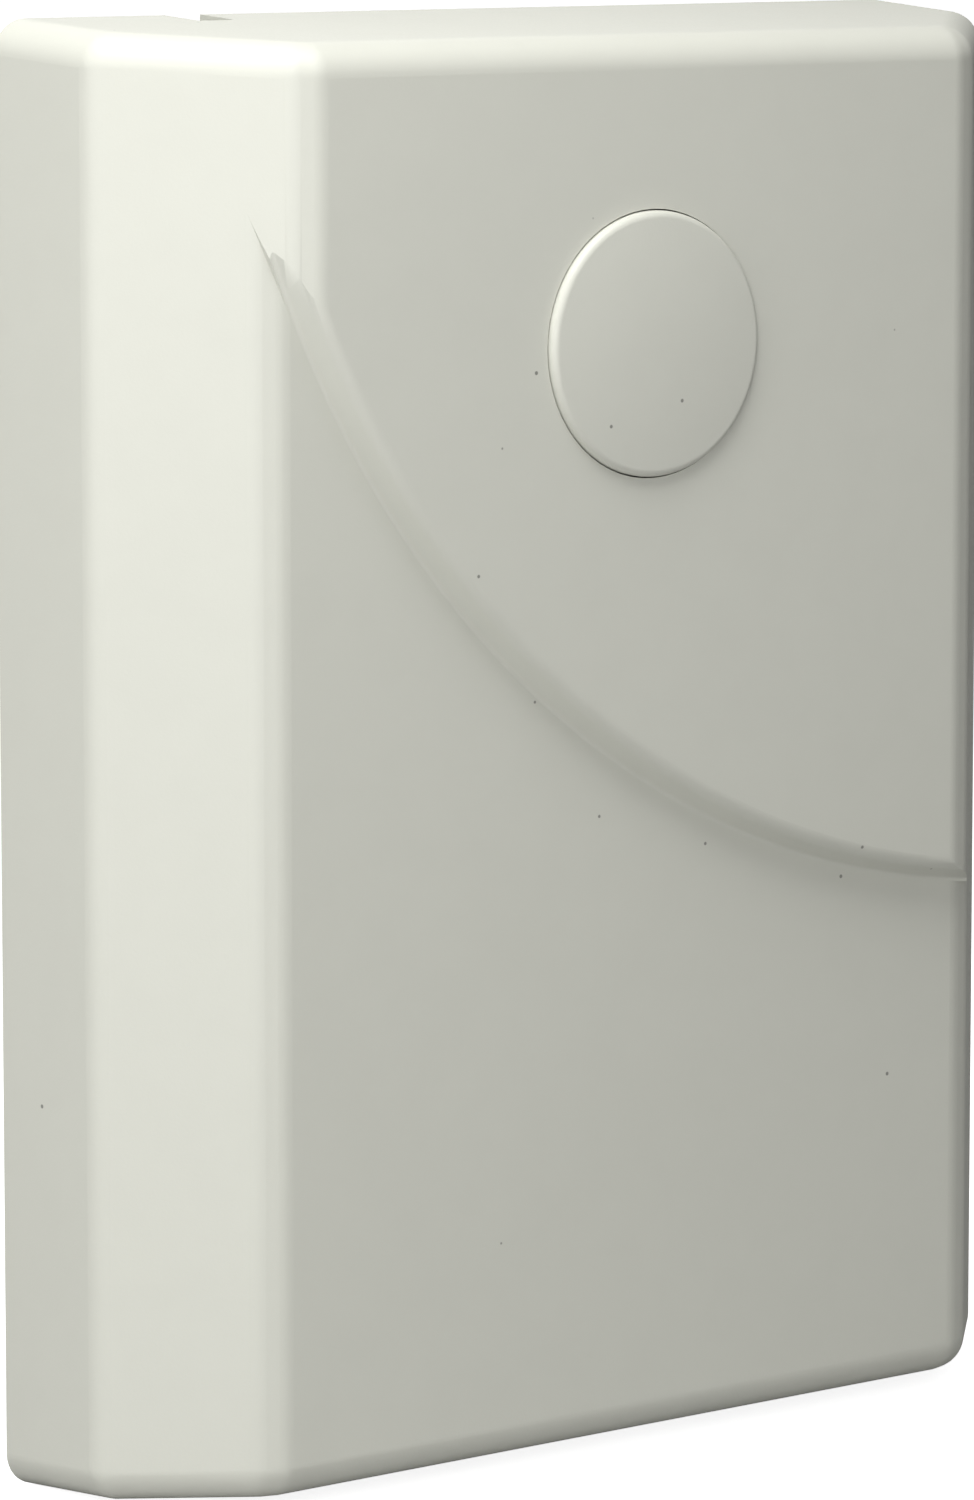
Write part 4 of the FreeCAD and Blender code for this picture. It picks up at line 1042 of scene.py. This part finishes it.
def floor(name, depth, tone, glow):
    """A wide pale floor, a given depth under the casing, that gives off glow of its own."""
    half = 12.0
    under = CAD_BOX[0].z - depth
    bm = bmesh.new()
    bm.faces.new([bm.verts.new((half * x, half * y, under)) for x, y in ((-1, -1), (1, -1), (1, 1), (-1, 1))])
    mesh = to_mesh(name, bm, smooth=False)
    nodes = Nodes(name, Roughness=0.9, Emission_Color=(1, 1, 1, 1), Emission_Strength=glow)
    nodes.drive(Base_Color=nodes.mixed(nodes.noise(0.3), shade_of((tone,) * 3, 0.98), (tone,) * 3))
    mesh.materials.append(nodes.material)
    ground = bpy.data.objects.new(name, mesh)
    bpy.context.scene.collection.objects.link(ground)
    return ground


def studio_floor():
    """The floor in view glows white; the one under it only sends the lamps' light back up."""
    seen = floor("floor", 0.1 * MM, 0.88, 0.85)
    seen.visible_diffuse = False
    seen.visible_glossy = False
    seen.visible_shadow = False
    bounce = floor("floor_bounce", 0.2 * MM, 0.3, 0.0)
    bounce.visible_camera = False


def sky():
    """Even, dim light from all round, under the soft lamps."""
    world = bpy.data.worlds.new("studio")
    world.use_nodes = True
    background = world.node_tree.nodes["Background"]
    background.inputs["Color"].default_value = (1, 1, 1, 1)
    background.inputs["Strength"].default_value = 0.28
    bpy.context.scene.world = world


def camera():
    """A long lens that looks from the left and a little above."""
    data = bpy.data.cameras.new("camera")
    data.lens = 158.1
    data.sensor_width = 36.0
    data.shift_y = -0.1
    data.clip_start = 0.01
    data.clip_end = 60.0
    eye = bpy.data.objects.new("camera", data)
    bpy.context.scene.collection.objects.link(eye)
    aim = Vector((0.6, -2.3, 12.4)) * MM
    distance = 0.7
    eye.location = orbit(aim, *VIEW, distance)
    eye.rotation_mode = "QUATERNION"
    eye.rotation_quaternion = towards(aim, eye.location)
    bpy.context.scene.camera = eye


dress_frame()
screws("board_screws", "base", 1.5 * MM, head_out=True)
screws("speaker_screws", "base", 1.5 * MM, head_out=True)
screws("retainer_screws", "cover", 1.3 * MM, head_out=False)
button_spring()
battery_springs()
antenna_coil()
cells()
speaker()
chip()
capacitors()
crystal()
resistors()
receiver_can()
switch_trim()
board_tracks()
board_pads()
board_ink()
studio_floor()
sky()
area_light("key", -50, 65, 0.40, 0.25, 1.35)
area_light("side", -85, 12, 0.50, 0.35, 0.74)
area_light("low", -38, 5, 0.45, 0.30, 0.74)
area_light("rear", 150, 35, 2.5, 1.5, 5.0)
camera()
bpy.context.scene.view_settings.view_transform = "Standard"
